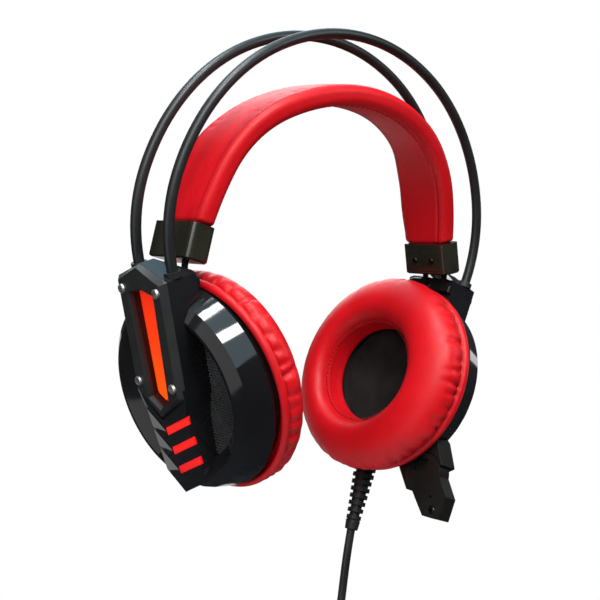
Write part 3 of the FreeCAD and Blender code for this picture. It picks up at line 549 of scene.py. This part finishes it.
def pad_place(word, angle, share, depth, fold):
    """A point of the cushion in the cup's frame: depth from its face, and how far a fold draws it in."""
    centre_y = (pad_low.y + pad_high.y) / 2
    centre_z = (pad_low.z + pad_high.z) / 2
    half_y = (pad_high.y - pad_low.y) / 2
    half_z = (pad_high.z - pad_low.z) / 2
    deep_top, deep_foot, wide_top, wide_foot, shift = PAD_FIT[word]
    low = (1 - math.sin(angle)) / 2
    deep = deep_top + (deep_foot - deep_top) * low
    wide = wide_top + (wide_foot - wide_top) * low
    inward = min(1.0, max(0.0, (HOLE_SHARE - share) / HOLE_BLEND))
    sunk = min(1.0, depth / HOLE_MM)
    grown = share * (1 + (wide - 1) * min(1.0, max(0.0, (PAD_BACK - depth) / SKIRT_MM)))
    grown *= 1 - MOUTH_NARROWER * inward * (1 - sunk)
    aside = shift * (1 - 0.5 * depth / PAD_BACK)
    aside += HOLE_SHIFT * inward * (MOUTH_SHIFT + (1 - MOUTH_SHIFT) * sunk)
    reach_y = grown * half_y * (1 + HOLE_LONGER * inward) - fold
    y = centre_y + aside * MM + reach_y * math.cos(angle)
    z = centre_z - HOLE_DROP * inward + (grown * half_z - fold) * math.sin(angle)
    x = pad_low.x + (PAD_BACK - (PAD_BACK - depth) * deep) * MM + fold * FOLD_SINK
    return Vector((x, y, z))


def pad_rings(word, table, around, across):
    """Rings of the gathered cover."""
    section = closed_line(PAD_SECTION, across)
    rings = []
    for i in range(around):
        angle = 2 * math.pi * i / around
        ring = []
        for j, (depth, share) in enumerate(section):
            along = len(PAD_SECTION) * j / across - SEAM_RING
            fold = 0.0
            if 0.0 < along < GATHER_REACH:
                start = min(1.0, along / GATHER_START)
                fold = GATHER_MOST * start * gather_depth(table, angle, along)
            elif -SKIRT_REACH < along <= 0.0:
                fold = SKIRT_GATHER * gather_depth(table, angle, -along * SKIRT_PACE)
            ring.append(pad_place(word, angle, share, depth, fold))
        rings.append(ring)
    return rings


PUFF_AROUND = 180
PUFF_ACROSS = 48
PUFF_STEPS = 20  # steps in which the cover settles
PUFF_PRESSURE = 4.0
PUFF_MOST = 0.7 * MM  # the cover moves no further than this under pressure
SKIRT_HELD = SEAM_RING + 0.3
BACK_HELD = len(PAD_SECTION) - 4.5
SEAM_HELD = 0.4


def is_sewn(at):
    """Whether the cover is held at a place in its section: skirt, back, and the seam in the hole."""
    return at < SKIRT_HELD or at > BACK_HELD or abs(at - HOLE_SEAM_RING) < SEAM_HELD


def blow_up(piece, pins):
    """Lets a closed cover settle as a pressed cloth, held at the pinned points, and gives its points."""
    group = piece.vertex_groups.new(name="held")
    group.add(pins, 1.0, "REPLACE")
    cloth = piece.modifiers.new("cloth", "CLOTH")
    cloth.settings.quality = 5
    cloth.settings.mass = 0.2
    cloth.settings.tension_stiffness = 22
    cloth.settings.compression_stiffness = 22
    cloth.settings.bending_stiffness = 0.3
    cloth.settings.use_pressure = True
    cloth.settings.uniform_pressure_force = PUFF_PRESSURE
    cloth.settings.vertex_group_mass = "held"
    cloth.settings.pin_stiffness = 1.0
    cloth.settings.effector_weights.gravity = 0.0
    cloth.collision_settings.use_self_collision = False
    scene = bpy.context.scene
    scene.frame_start, scene.frame_end = 1, PUFF_STEPS
    cloth.point_cache.frame_start, cloth.point_cache.frame_end = 1, PUFF_STEPS
    for step in range(1, PUFF_STEPS + 1):
        scene.frame_set(step)
    shape = piece.evaluated_get(bpy.context.evaluated_depsgraph_get())
    settled = [v.co.copy() for v in shape.data.vertices]
    piece.modifiers.remove(cloth)
    piece.vertex_groups.remove(group)
    scene.frame_set(1)
    return settled


def puffed(word, table):
    """Movement of a coarse cover under pressure, sewn at its seams, as a table of rings."""
    rings = pad_rings(word, table, PUFF_AROUND, PUFF_ACROSS)
    points = flat(rings)
    piece = add_mesh("puff", points, skin(rings, close_rings=True), RED)
    sewn = [j for j in range(PUFF_ACROSS) if is_sewn(len(PAD_SECTION) * j / PUFF_ACROSS)]
    pins = [i * PUFF_ACROSS + j for i in range(PUFF_AROUND) for j in sewn]
    settled = blow_up(piece, pins)
    bpy.data.objects.remove(piece)
    moves = []
    for point, place in zip(points, settled):
        move = place - point
        if move.length > PUFF_MOST:
            move = move.normalized() * PUFF_MOST
        moves.append(move)
    return [moves[k:k + PUFF_ACROSS] for k in range(0, len(moves), PUFF_ACROSS)]


def puff_at(moves, i, j):
    """Movement at a point of the fine cover, read between the coarse cover's points."""
    u = i * len(moves) / PAD_AROUND
    v = j * len(moves[0]) / PAD_ACROSS
    iu, iv = int(u), int(v)
    fu, fv = u - iu, v - iv
    ju, jv = (iu + 1) % len(moves), (iv + 1) % len(moves[0])
    here = moves[iu][iv].lerp(moves[ju][iv], fu)
    beside = moves[iu][jv].lerp(moves[ju][jv], fu)
    return here.lerp(beside, fv)


THREAD_SIDES = 6
HOLE_THREADS = 74
HOLE_THREAD_R = 0.2 * MM
HOLE_THREAD_SHARE = 0.529  # radius and depth of the row of threads
HOLE_THREAD_MM = 5.2
THREAD_LENGTH = 0.62  # of the distance from one thread to the next
THREAD_ARCH = ((0.0, 0.3), (0.2, -0.1), (0.5, -0.16), (0.8, -0.1), (1.0, 0.3))


def stitched_ring(word, side):
    """Threads of the seam inside the cushion's hole."""
    points, faces = [], []
    for i in range(HOLE_THREADS):
        path = []
        for t, lift in THREAD_ARCH:
            angle = 2 * math.pi * (i + THREAD_LENGTH * t) / HOLE_THREADS
            place = pad_place(word, angle, HOLE_THREAD_SHARE, HOLE_THREAD_MM, 0.0)
            inside = Vector((0.0, math.cos(angle), math.sin(angle)))
            path.append(from_cup(place + inside * (lift * MM), side))
        outwards = cup_turn @ Vector((1.0, 0.0, 0.0))
        add_tube(points, faces, tube_rings(path, HOLE_THREAD_R, THREAD_SIDES, up=outwards))
    threads = add_mesh(f"cushion_stitches_{word}", points, faces, THREAD)
    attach(threads, "frame")


def ear_pad(word, side, seed):
    table = gather_table(seed)
    rings = pad_rings(word, table, PAD_AROUND, PAD_ACROSS)
    moves = puffed(word, table)
    rings = [[point + puff_at(moves, i, j) for j, point in enumerate(ring)]
             for i, ring in enumerate(rings)]
    points = [from_cup(p, side) for p in flat(rings)]
    pad = add_mesh(f"ear_cushion_{word}", points, skin(rings, close_rings=True), RED)
    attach(pad, "frame")
    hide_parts(f"ear_pad_{word}")
    stitched_ring(word, side)


PAD_SEEDS = {"left": 11, "right": 12}
for word, side in BOTH:
    ear_pad(word, side, PAD_SEEDS[word])


# ------------------------------ headband pad
BAND_TOP = 4.3 * MM
BAND_ARCS = [(87.2, 28.1), (52.7, 68.2), (121.8, 88.0)]  # radius in mm, and turn at its end
BAND_HALF = 4.3 * MM  # half the pad's thickness
BAND_STATIONS = 260
BAND_WINDOW = 8  # stations each side over which the edges are evened out
SEAM_IN = 4.4 * MM  # from the pad's edge to its seams
SEAM_PROFILE = (-1.3, -0.8, -0.4, 0.0, 0.4, 0.8, 1.3)  # points across a seam, in mm
FACE_STEPS = (-0.92, -0.78, -0.62, -0.46, -0.30, -0.15, 0.0, 0.15, 0.30, 0.46, 0.62, 0.78, 0.92)
EDGE_ROLL = 3.4 * MM  # radius of the pad's rolled edges
ROLL_STEPS = 10
CROWN = 0.35 * MM  # how far the pad's faces swell between their edges
band_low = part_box("headband_pad")[0]


def leaning(turn):
    """The upward direction turned towards the left."""
    return Vector((math.sin(turn), 0.0, math.cos(turn)))


def band_line(share):
    """Point and outward direction on the pad's centre line; share runs 0 at the crown to 1 at the foot."""
    radii = [radius * MM for radius, _ in BAND_ARCS]
    centre = Vector((0.0, 0.0, BAND_TOP - radii[0]))
    start = 0.0
    arcs = []
    for radius, following, (_, end) in zip(radii, radii[1:] + radii[-1:], BAND_ARCS):
        arcs.append((centre, radius, start, end))
        centre = centre + leaning(math.radians(end)) * (radius - following)
        start = end
    lengths = [r * math.radians(e - s) for _, r, s, e in arcs]
    want = share * sum(lengths)
    for (middle, radius, first, last), length in zip(arcs, lengths):
        if want <= length or last == BAND_ARCS[-1][1]:
            out = leaning(math.radians(first) + want / radius)
            return middle + out * radius, out
        want -= length


FOOT_ABOVE = 0.2 * BAND_HALF  # the line ends this far above the pad's lowest point


def foot_share():
    """Share of the line at which the pad's foot lies."""
    low, high = 0.5, 1.0
    for _ in range(40):
        middle = (low + high) / 2
        if band_line(middle)[0].z > band_low.z + FOOT_ABOVE:
            low = middle
        else:
            high = middle
    return low


BAND_TREE = BVHTree.FromPolygons([v.co for v in NODES["headband_pad"].data.vertices],
                                 [p.vertices for p in NODES["headband_pad"].data.polygons])
BAND_FAR = 0.1  # the rays start this far before and behind the pad


def band_edges(point):
    """Front and rear edge of the part's pad beside a point on its centre line."""
    ahead = BAND_TREE.ray_cast(point + Vector((0, -BAND_FAR, 0)), Vector((0, 1, 0)))[0]
    behind = BAND_TREE.ray_cast(point + Vector((0, BAND_FAR, 0)), Vector((0, -1, 0)))[0]
    return ahead.y, behind.y


def band_section(half_width):
    """Offsets across and outwards round one section: a flat pad with rolled edges."""
    flat_y, flat_n = half_width - EDGE_ROLL, BAND_HALF - EDGE_ROLL
    steps = [f * flat_y for f in FACE_STEPS]
    for seam in (-1, 1):
        steps += [seam * (half_width - SEAM_IN) + d * MM for d in SEAM_PROFILE]
    steps.sort()
    out = []
    for corner, (cy, cn) in enumerate(((1, 1), (-1, 1), (-1, -1), (1, -1))):
        for k in range(ROLL_STEPS + 1):
            turn = math.radians(90 * (corner + k / ROLL_STEPS))
            out.append((cy * flat_y + EDGE_ROLL * math.cos(turn),
                        cn * flat_n + EDGE_ROLL * math.sin(turn)))
        if corner == 0:
            out += [(y, BAND_HALF) for y in reversed(steps)]
        if corner == 2:
            out += [(y, -BAND_HALF) for y in steps]
    return out


SEAM_WIDTH = 0.5 * MM
SEAM_PULL = 0.6  # in mm
FOOT_FROM = 0.93  # share of the line at which the pad gathers towards its foot
FOOT_PULL = 0.5
FOOT_WAVE = 1.5 * MM
PUCKERS = 16
PUCKER_ALONG = 0.006  # share of the line that a pucker spreads over
PUCKER_PLACES = (0.12, 0.62)
PUCKER_ROWS = (-0.6, 0.62)  # shares of the half width
PUCKER_DEPTHS = (0.12, 0.35)
PUCKER_LENGTHS = (1.5, 3.5)


def band_relief(y, n, half, at, puckers):
    """How far the front seam, the gathers at the feet and the small puckers pull a point in."""
    inner = n < 0
    seam = abs(abs(y) - (half - SEAM_IN))
    pull = SEAM_PULL * math.exp(-(seam / SEAM_WIDTH) ** 2) if inner and y < 0 else 0.0
    foot = max(0.0, (abs(at) - FOOT_FROM) / (1 - FOOT_FROM))
    pull += FOOT_PULL * foot * (0.5 + 0.5 * math.sin(y / FOOT_WAVE + 2.0 * math.sin(9 * at)))
    if not inner:
        for place, across, deep, length in puckers:
            gap = ((at - place) / PUCKER_ALONG) ** 2 + ((y - across * half) / length) ** 2
            pull += deep * math.exp(-gap)
    return pull * MM


CROWN_WIDER = 2.2 * MM  # the front edge reaches this much further at the crown
CROWN_SPAN = 0.30
FOOT_FRONT = 0.7 * MM  # and the edges this much further towards the feet
FOOT_REAR = 1.6 * MM
FOOT_SPAN = 0.45


def band_frames(last):
    """Along the band: place, middle, outward direction and half width."""
    edges = []
    for i in range(BAND_STATIONS + 1):
        share = abs(2 * i / BAND_STATIONS - 1)
        edges.append(band_edges(band_line(share * last)[0]))
    frames = []
    for i in range(BAND_STATIONS + 1):
        at = 2 * i / BAND_STATIONS - 1
        side = -1.0 if at < 0 else 1.0
        point, out = band_line(abs(at) * last)
        window = range(max(0, i - BAND_WINDOW), min(BAND_STATIONS, i + BAND_WINDOW) + 1)
        front = sum(edges[k][0] for k in window) / len(window)
        rear = sum(edges[k][1] for k in window) / len(window)
        front -= CROWN_WIDER * math.exp(-(at / CROWN_SPAN) ** 2)
        foot = min(1.0, max(0.0, (abs(at) - FOOT_SPAN) / FOOT_SPAN))
        foot = foot * foot * (3 - 2 * foot)
        front -= FOOT_FRONT * foot
        rear += FOOT_REAR * foot
        middle = Vector((side * point.x, (front + rear) / 2, point.z))
        frames.append((at, middle, Vector((side * out.x, 0.0, out.z)), (rear - front) / 2))
    return frames


def cap_rim():
    """A point on the flat top of the left end cap, and its normal."""
    mesh = NODES["end_cap_left"].data
    tops = [p for p in mesh.polygons if p.normal.z > 0.9]
    highest = max(tops, key=lambda p: p.center.z)
    return highest.center.copy(), highest.normal.copy()


NECK_FROM = 0.85  # share of the line from which the pad may be drawn in
NECK_ABOVE = 2.2 * MM  # the shoulder begins this far above the cap's rim
NECK_FALL = 2.0 * MM
NECK_ACROSS = 0.20  # how much narrower and thinner the pad gets
NECK_THINNER = 0.30


def neck(place, middle, out, rim):
    """Draws the pad in where it enters its cap, over a rounded shoulder at the cap's rim."""
    centre, normal = rim
    aside = Vector((abs(place.x), place.y, place.z))
    height = (aside - centre).dot(normal)
    share = min(1.0, max(0.0, (NECK_ABOVE - height) / NECK_FALL))
    share = 1.0 - math.sqrt(1.0 - min(share, 0.999) ** 2)
    offset = place - middle
    outward = out * offset.dot(out)
    across = offset - outward
    return middle + across * (1 - NECK_ACROSS * share) + outward * (1 - NECK_THINNER * share)


BAND_THREAD_R = 0.22 * MM
BAND_THREAD_STEP = 4  # stations from one thread to the next
BAND_THREAD_LENGTH = 2.6
BAND_THREAD_IN = 1.1 * MM  # from the seam to its threads
BAND_THREAD_ARCH = ((0.0, -0.25), (0.2, 0.18), (0.5, 0.24), (0.8, 0.18), (1.0, -0.25))
BAND_THREAD_ENDS = 10  # stations at each foot that have none


def between(frames, place):
    """Middle, outward direction and half width at a place between two stations."""
    t = place - int(place)
    _, low_middle, low_out, low_half = frames[int(place)]
    _, high_middle, high_out, high_half = frames[min(int(place) + 1, len(frames) - 1)]
    return (low_middle.lerp(high_middle, t), low_out.lerp(high_out, t).normalized(),
            low_half + (high_half - low_half) * t)


def band_stitches(frames):
    """Sewing threads beside the seam at the front edge, on the inner face."""
    points, faces = [], []
    for i in range(BAND_THREAD_ENDS, len(frames) - BAND_THREAD_ENDS, BAND_THREAD_STEP):
        first, last = between(frames, i), between(frames, i + BAND_THREAD_LENGTH)
        path = []
        for t, lift in BAND_THREAD_ARCH:
            middle = first[0].lerp(last[0], t)
            out = first[1].lerp(last[1], t).normalized()
            half = first[2] + (last[2] - first[2]) * t
            front = -(half - SEAM_IN - BAND_THREAD_IN)
            path.append(middle - out * (BAND_HALF + lift * MM) + Vector((0.0, front, 0.0)))
        backwards = Vector((0.0, 1.0, 0.0))
        add_tube(points, faces, tube_rings(path, BAND_THREAD_R, THREAD_SIDES, up=backwards))
    stitches = add_mesh("headband_stitches", points, faces, THREAD)
    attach(stitches, "headband")


def pucker_table(seed):
    """Where each pucker lies along and across the pad, its depth in mm and its length."""
    rng = random.Random(seed)
    table = []
    for _ in range(PUCKERS):
        place = rng.choice((-1, 1)) * rng.uniform(*PUCKER_PLACES)
        across = rng.choice(PUCKER_ROWS)
        deep = rng.uniform(*PUCKER_DEPTHS)
        table.append((place, across, deep, rng.uniform(*PUCKER_LENGTHS) * MM))
    return table


def headband_pad():
    frames = band_frames(foot_share())
    rim = cap_rim()
    puckers = pucker_table(5)
    rings = []
    for at, middle, out, half in frames:
        ring = []
        for y, n in band_section(half):
            pull = band_relief(y, n, half, at, puckers)
            depth = n - math.copysign(pull, n)
            bulge = CROWN * (1 - (y / half) ** 2) * math.copysign(1, n)
            place = middle + out * (depth + bulge) + Vector((0.0, y, 0.0))
            ring.append(neck(place, middle, out, rim) if abs(at) > NECK_FROM else place)
        rings.append(ring)
    pad = add_mesh("headband_cover", flat(rings), skin(rings, cap=True), RED)
    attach(pad, "headband")
    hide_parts("headband_pad")
    band_stitches(frames)


headband_pad()


# ------------------------------ elastic cords of the headband
BRAID_STATIONS = 120
BRAID_SIDES = 24
BRAID_CROSSINGS = 6  # times round that the strands cross
BRAID_PITCH = 0.55  # turn of the strands from one station to the next
BRAID_RELIEF = 0.12  # in mm
BRAID_CORE = 0.93  # the braid's middle radius as a share of the cord's


def braid_rings(path, radius):
    """Rings of a cord of crossing strands."""
    rings = tube_rings(path, radius * BRAID_CORE, BRAID_SIDES)
    for i, ring in enumerate(rings):
        for j, point in enumerate(ring):
            around = BRAID_CROSSINGS * math.pi * j / (BRAID_SIDES / 2)
            braid = math.sin(around + i * BRAID_PITCH) * math.sin(around - i * BRAID_PITCH)
            outward = (point - path[i]).normalized()
            ring[j] = point + outward * braid * BRAID_RELIEF * MM
    return rings


def elastic_cords(word):
    """Braided cords, stretched between the cap and the hub."""
    low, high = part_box(f"elastic_cords_{word}")
    radius = (high.x - low.x) / 2
    centre_x = (low.x + high.x) / 2
    points, faces = [], []
    for y in (low.y + radius, high.y - radius):
        path = [Vector((centre_x, y, low.z + (high.z - low.z) * i / BRAID_STATIONS))
                for i in range(BRAID_STATIONS + 1)]
        add_tube(points, faces, braid_rings(path, radius))
    cords = add_mesh(f"elastic_braid_{word}", points, faces, BRAID)
    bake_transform(cords)
    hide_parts(f"elastic_cords_{word}")


for word, _ in BOTH:
    elastic_cords(word)


# ------------------------------ woven screens in the cups' recesses
screen_low, screen_high = cup_box("grille_left")
WIRE_PITCH = 1.25 * MM
WIRE_R = 0.26 * MM
WIRE_WAVE = 0.22 * MM  # how far a wire bends over and under the others
WIRE_SUNK = 0.5 * MM


def wire_screen(word, side):
    """Plain-woven wire, cut to the recess's oval, standing for the slotted screen."""
    centre_y = (screen_low.y + screen_high.y) / 2
    centre_z = (screen_low.z + screen_high.z) / 2
    half_y = (screen_high.y - screen_low.y) / 2
    half_z = (screen_high.z - screen_low.z) / 2
    depth = screen_high.x - WIRE_SUNK
    points, faces = [], []
    for across in (False, True):
        reach, other = (half_z, half_y) if across else (half_y, half_z)
        count = int(2 * other / WIRE_PITCH)
        for i in range(count + 1):
            offset = -other + (i + 0.5) * WIRE_PITCH
            if abs(offset) >= other * 0.995:
                continue
            length = reach * math.sqrt(1 - (offset / other) ** 2)
            steps = max(2, int(2 * length / (WIRE_PITCH / 2)))
            path = []
            for k in range(steps + 1):
                t = -length + 2 * length * k / steps
                wave = WIRE_WAVE * math.cos(math.pi * t / WIRE_PITCH) * (1 if i % 2 else -1)
                if across:
                    path.append(Vector((depth - wave, centre_y + offset, centre_z + t)))
                else:
                    path.append(Vector((depth + wave, centre_y + t, centre_z + offset)))
            rings = tube_rings(path, WIRE_R, 4, up=Vector((1.0, 0.0, 0.0)))
            add_tube(points, faces, [[from_cup(p, side) for p in ring] for ring in rings])
    screen = add_mesh(f"wire_screen_{word}", points, faces, WIRE)
    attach(screen, "frame")
    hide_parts(f"grille_{word}")


for word, side in BOTH:
    wire_screen(word, side)


# ------------------------------ cable, with its coil and plug
CABLE_D = 4.0 * MM
CABLE_START = Vector((44.305, 6.270, -197.493)) * MM
CABLE_ROUTE = [CABLE_START,
               CABLE_START + Vector((-1.8, -0.8, -11.0)) * MM,
               CABLE_START + Vector((-2.4, -1.0, -26.0)) * MM]
COIL_TOP = CABLE_START + Vector((-2.6, -1.0, -47.0)) * MM
COIL_R = 23.0 * MM
COIL_SECTION_R = 8.4 * MM
COIL_CENTRE = COIL_TOP + Vector((0.0, 0.0, 2.0 * MM - COIL_R - COIL_SECTION_R))
COIL_AXIS = Vector((0.743, -0.669, 0.0))
COIL_ACROSS = COIL_AXIS.cross(Vector((0.0, 0.0, 1.0))).normalized()
ENTRY_ROUTE = [COIL_TOP + Vector((0.0, 0.0, 8.0)) * MM,
               COIL_TOP + COIL_ACROSS * (4.0 * MM) + Vector((0.0, 0.0, 0.8 * MM)) - COIL_AXIS * (4.0 * MM)]
LEAVE_ROUTE = [COIL_CENTRE + Vector((0.0, 0.0, -33.5 * MM)) + COIL_ACROSS * (5.0 * MM)
               - COIL_AXIS * (7.0 * MM)]
TAIL_ROUTE = [COIL_CENTRE + Vector((0.6, 0.6, -42.4)) * MM,
              COIL_CENTRE + Vector((0.2, 0.2, -57.4)) * MM]
LAYER_GAP = 4.2 * MM
LAYERS = 4
MIDDLE_LAYER = (LAYERS - 1) / 2
LAYER_TURNS = 3.02
POINTS_PER_TURN = 16
FIRST_ANGLE = 0.11  # in turns from the top, where the winding begins
STEP_DOWN = 0.5 * LAYER_GAP  # how far the last two points of a layer lead to the next
ASIDE_PACE = 5  # the last turn is beside the others after a fifth of its way
OUTWARD_FROM = 0.15  # and moves outwards from this share of it


def coil_point(angle, radius, shift):
    """A point of the coil; the angle is in turns from the top, the shift along its axis."""
    turn = 2 * math.pi * angle
    return (COIL_CENTRE + COIL_ACROSS * (radius * math.sin(turn))
            + Vector((0.0, 0.0, radius * math.cos(turn))) + COIL_AXIS * shift)


def coil_points():
    """Turns wound in layers from the outside in, and one last turn that comes back out beside them."""
    half = LAYER_TURNS * LAYER_GAP / 2
    sweep = int(LAYER_TURNS * POINTS_PER_TURN)
    step = 1.0 / POINTS_PER_TURN
    points = []
    angle = FIRST_ANGLE
    for layer in range(LAYERS):
        radius = COIL_R + LAYER_GAP * (MIDDLE_LAYER - layer)
        for i in range(sweep):
            share = i / sweep
            shift = half * (2 * share - 1) * (1 if layer % 2 == 0 else -1)
            leading = layer < LAYERS - 1 and share > 1 - 2 / sweep
            points.append(coil_point(angle, radius - (STEP_DOWN if leading else 0.0), shift))
            angle += step
    inner = COIL_R - MIDDLE_LAYER * LAYER_GAP
    for i in range(POINTS_PER_TURN + 1):
        share = i / POINTS_PER_TURN
        beside = -half - LAYER_GAP * min(1.0, share * ASIDE_PACE)
        grow = max(0.0, (share - OUTWARD_FROM) / (1 - OUTWARD_FROM))
        points.append(coil_point(angle, inner + (LAYERS - 1) * LAYER_GAP * grow, beside))
        angle += step
    return points


def cable_cord():
    route = CABLE_ROUTE + ENTRY_ROUTE + coil_points() + LEAVE_ROUTE + TAIL_ROUTE
    data = bpy.data.curves.new("cable", "CURVE")
    data.dimensions = "3D"
    data.bevel_depth = CABLE_D / 2
    data.bevel_resolution = 5
    spline = data.splines.new("NURBS")
    spline.points.add(len(route) - 1)
    for point, place in zip(spline.points, route):
        point.co = (*place, 1.0)
    spline.order_u = 3
    spline.use_endpoint_u = True
    spline.resolution_u = 6
    data.materials.append(CABLE)
    cord = bpy.data.objects.new("cable_cord", data)
    bpy.context.scene.collection.objects.link(cord)
    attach(cord, "frame")
    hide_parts("cable", "cable_coil", "cable_tail")
    return cord


TIE_OUT = 8.9 * MM  # half the strap's loop away from the coil's centre
TIE_LOW = -13.6 * MM  # its reach along the coil's axis
TIE_HIGH = 9.2 * MM
TIE_WIDTH = 9.0 * MM
TIE_THICK = 1.1 * MM
TIE_SQUARE = 0.55  # 1 would make the loop an oval, 0 a rectangle
TIE_STATIONS = 96
TIE_PROFILE = ((-1, 0), (-1, 1), (0, 1.15), (1, 1), (1, 0), (0, 0))


def coil_tie():
    """Woven strap round the coil's bundle at its top."""
    middle = (TIE_LOW + TIE_HIGH) / 2
    half_side = (TIE_HIGH - TIE_LOW) / 2
    rings = []
    for i in range(TIE_STATIONS):
        turn = 2 * math.pi * i / TIE_STATIONS
        c, s = math.cos(turn), math.sin(turn)
        out = math.copysign(abs(c) ** TIE_SQUARE, c) * TIE_OUT
        aside = math.copysign(abs(s) ** TIE_SQUARE, s) * half_side
        normal = COIL_AXIS * (s * TIE_OUT) + Vector((0.0, 0.0, c * half_side))
        normal.normalize()
        ring = []
        for along, off in TIE_PROFILE:
            place = coil_point(0.0, COIL_R + out, middle + aside)
            ring.append(place + COIL_ACROSS * (along * TIE_WIDTH / 2) + normal * (off * TIE_THICK))
        rings.append(ring)
    tie = add_mesh("coil_strap", flat(rings), skin(rings, close_rings=True), BRAID)
    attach(tie, "frame")
    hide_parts("coil_tie")
    return tie


cable_piece = cable_cord()
tie_piece = coil_tie()


# ------------------------------ floor and light
FLOOR_BELOW = 0.02
FLOOR_RADIUS = 0.35
FLOOR_SIDES = 96
LIGHT_AIM = Vector((0.0, 0.0, -0.08))
WHITE = (1.0, 1.0, 1.0)
LIGHTS = (  # place, size, power, colour, and roll in degrees
    ("key", (-0.75, -0.55, 0.55), (0.6, 0.6), 7.0, (1.0, 0.98, 0.96), 0),
    ("top", (0.2, 0.45, 0.9), (1.3, 1.3), 8.0, (0.46, 0.82, 1.0), 0),
    ("fill", (0.6, -0.75, 0.55), (0.3, 0.6), 3.0, WHITE, 0),
    ("back", (0.5, 0.9, 0.35), (0.7, 0.7), 5.0, WHITE, 0),
    ("low_back", (0.27, 0.85, -0.45), (0.7, 0.5), 0.7, WHITE, 0),
    ("band_a", (-0.27, 0.01, 0.89), (0.2, 0.34), 7.5, (0.95, 0.99, 1.0), 0),
    ("band_b", (-0.27, -0.52, 0.75), (0.34, 0.2), 8.0, (1.0, 0.98, 0.94), 32),
    ("wash", (-0.32, -0.74, 0.97), (0.4, 1.7), 5.6, (0.66, 0.88, 1.0), 12),
    ("side", (-1.05, -0.2, -0.1), (0.7, 1.1), 3.0, WHITE, 0),
    ("rim", (1.05, 0.05, -0.1), (0.1, 0.6), 0.5, WHITE, 0),
)


def make_floor():
    low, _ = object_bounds()
    mesh = bpy.data.meshes.new("floor")
    rim = []
    for i in range(FLOOR_SIDES):
        turn = 2 * math.pi * i / FLOOR_SIDES
        rim.append((FLOOR_RADIUS * math.cos(turn), FLOOR_RADIUS * math.sin(turn), low.z - FLOOR_BELOW))
    mesh.from_pydata(rim, [], [tuple(range(FLOOR_SIDES))])
    look = Look("floor_paint", roughness=0.7)
    look.tones((0.78, 0.78, 0.78), (0.82, 0.82, 0.82), scale=2.0)
    look.grain(scale=60.0, height=0.0002, strength=0.1)
    mesh.materials.append(look.material)
    floor = bpy.data.objects.new("floor", mesh)
    bpy.context.scene.collection.objects.link(floor)
    floor.visible_glossy = False


def area_light(name, place, size, power, colour, roll):
    data = bpy.data.lights.new(name, "AREA")
    data.shape = "RECTANGLE"
    data.size, data.size_y = size
    data.energy = power
    data.color = colour
    light = bpy.data.objects.new(name, data)
    bpy.context.scene.collection.objects.link(light)
    light.location = place
    light.rotation_mode = "QUATERNION"
    turn = (LIGHT_AIM - Vector(place)).to_track_quat("-Z", "Y")
    light.rotation_quaternion = turn @ Quaternion((0.0, 0.0, 1.0), math.radians(roll))


def make_world():
    """Pale surroundings that the camera sees as white, and that light the object only faintly."""
    world = bpy.data.worlds.new("studio")
    world.use_nodes = True
    tree = world.node_tree
    shade = tree.nodes["Background"]
    shade.inputs["Color"].default_value = (0.75, 0.78, 0.82, 1.0)
    shade.inputs["Strength"].default_value = 0.05
    seen = tree.nodes.new("ShaderNodeBackground")
    seen.inputs["Color"].default_value = (*WHITE, 1.0)
    seen.inputs["Strength"].default_value = 1.0
    rays = tree.nodes.new("ShaderNodeLightPath")
    mix = tree.nodes.new("ShaderNodeMixShader")
    tree.links.new(rays.outputs["Is Camera Ray"], mix.inputs["Fac"])
    tree.links.new(shade.outputs["Background"], mix.inputs[1])
    tree.links.new(seen.outputs["Background"], mix.inputs[2])
    tree.links.new(mix.outputs["Shader"], tree.nodes["World Output"].inputs["Surface"])
    bpy.context.scene.world = world


make_floor()
make_world()
for light in LIGHTS:
    area_light(*light)
bpy.context.scene.view_settings.view_transform = "Standard"
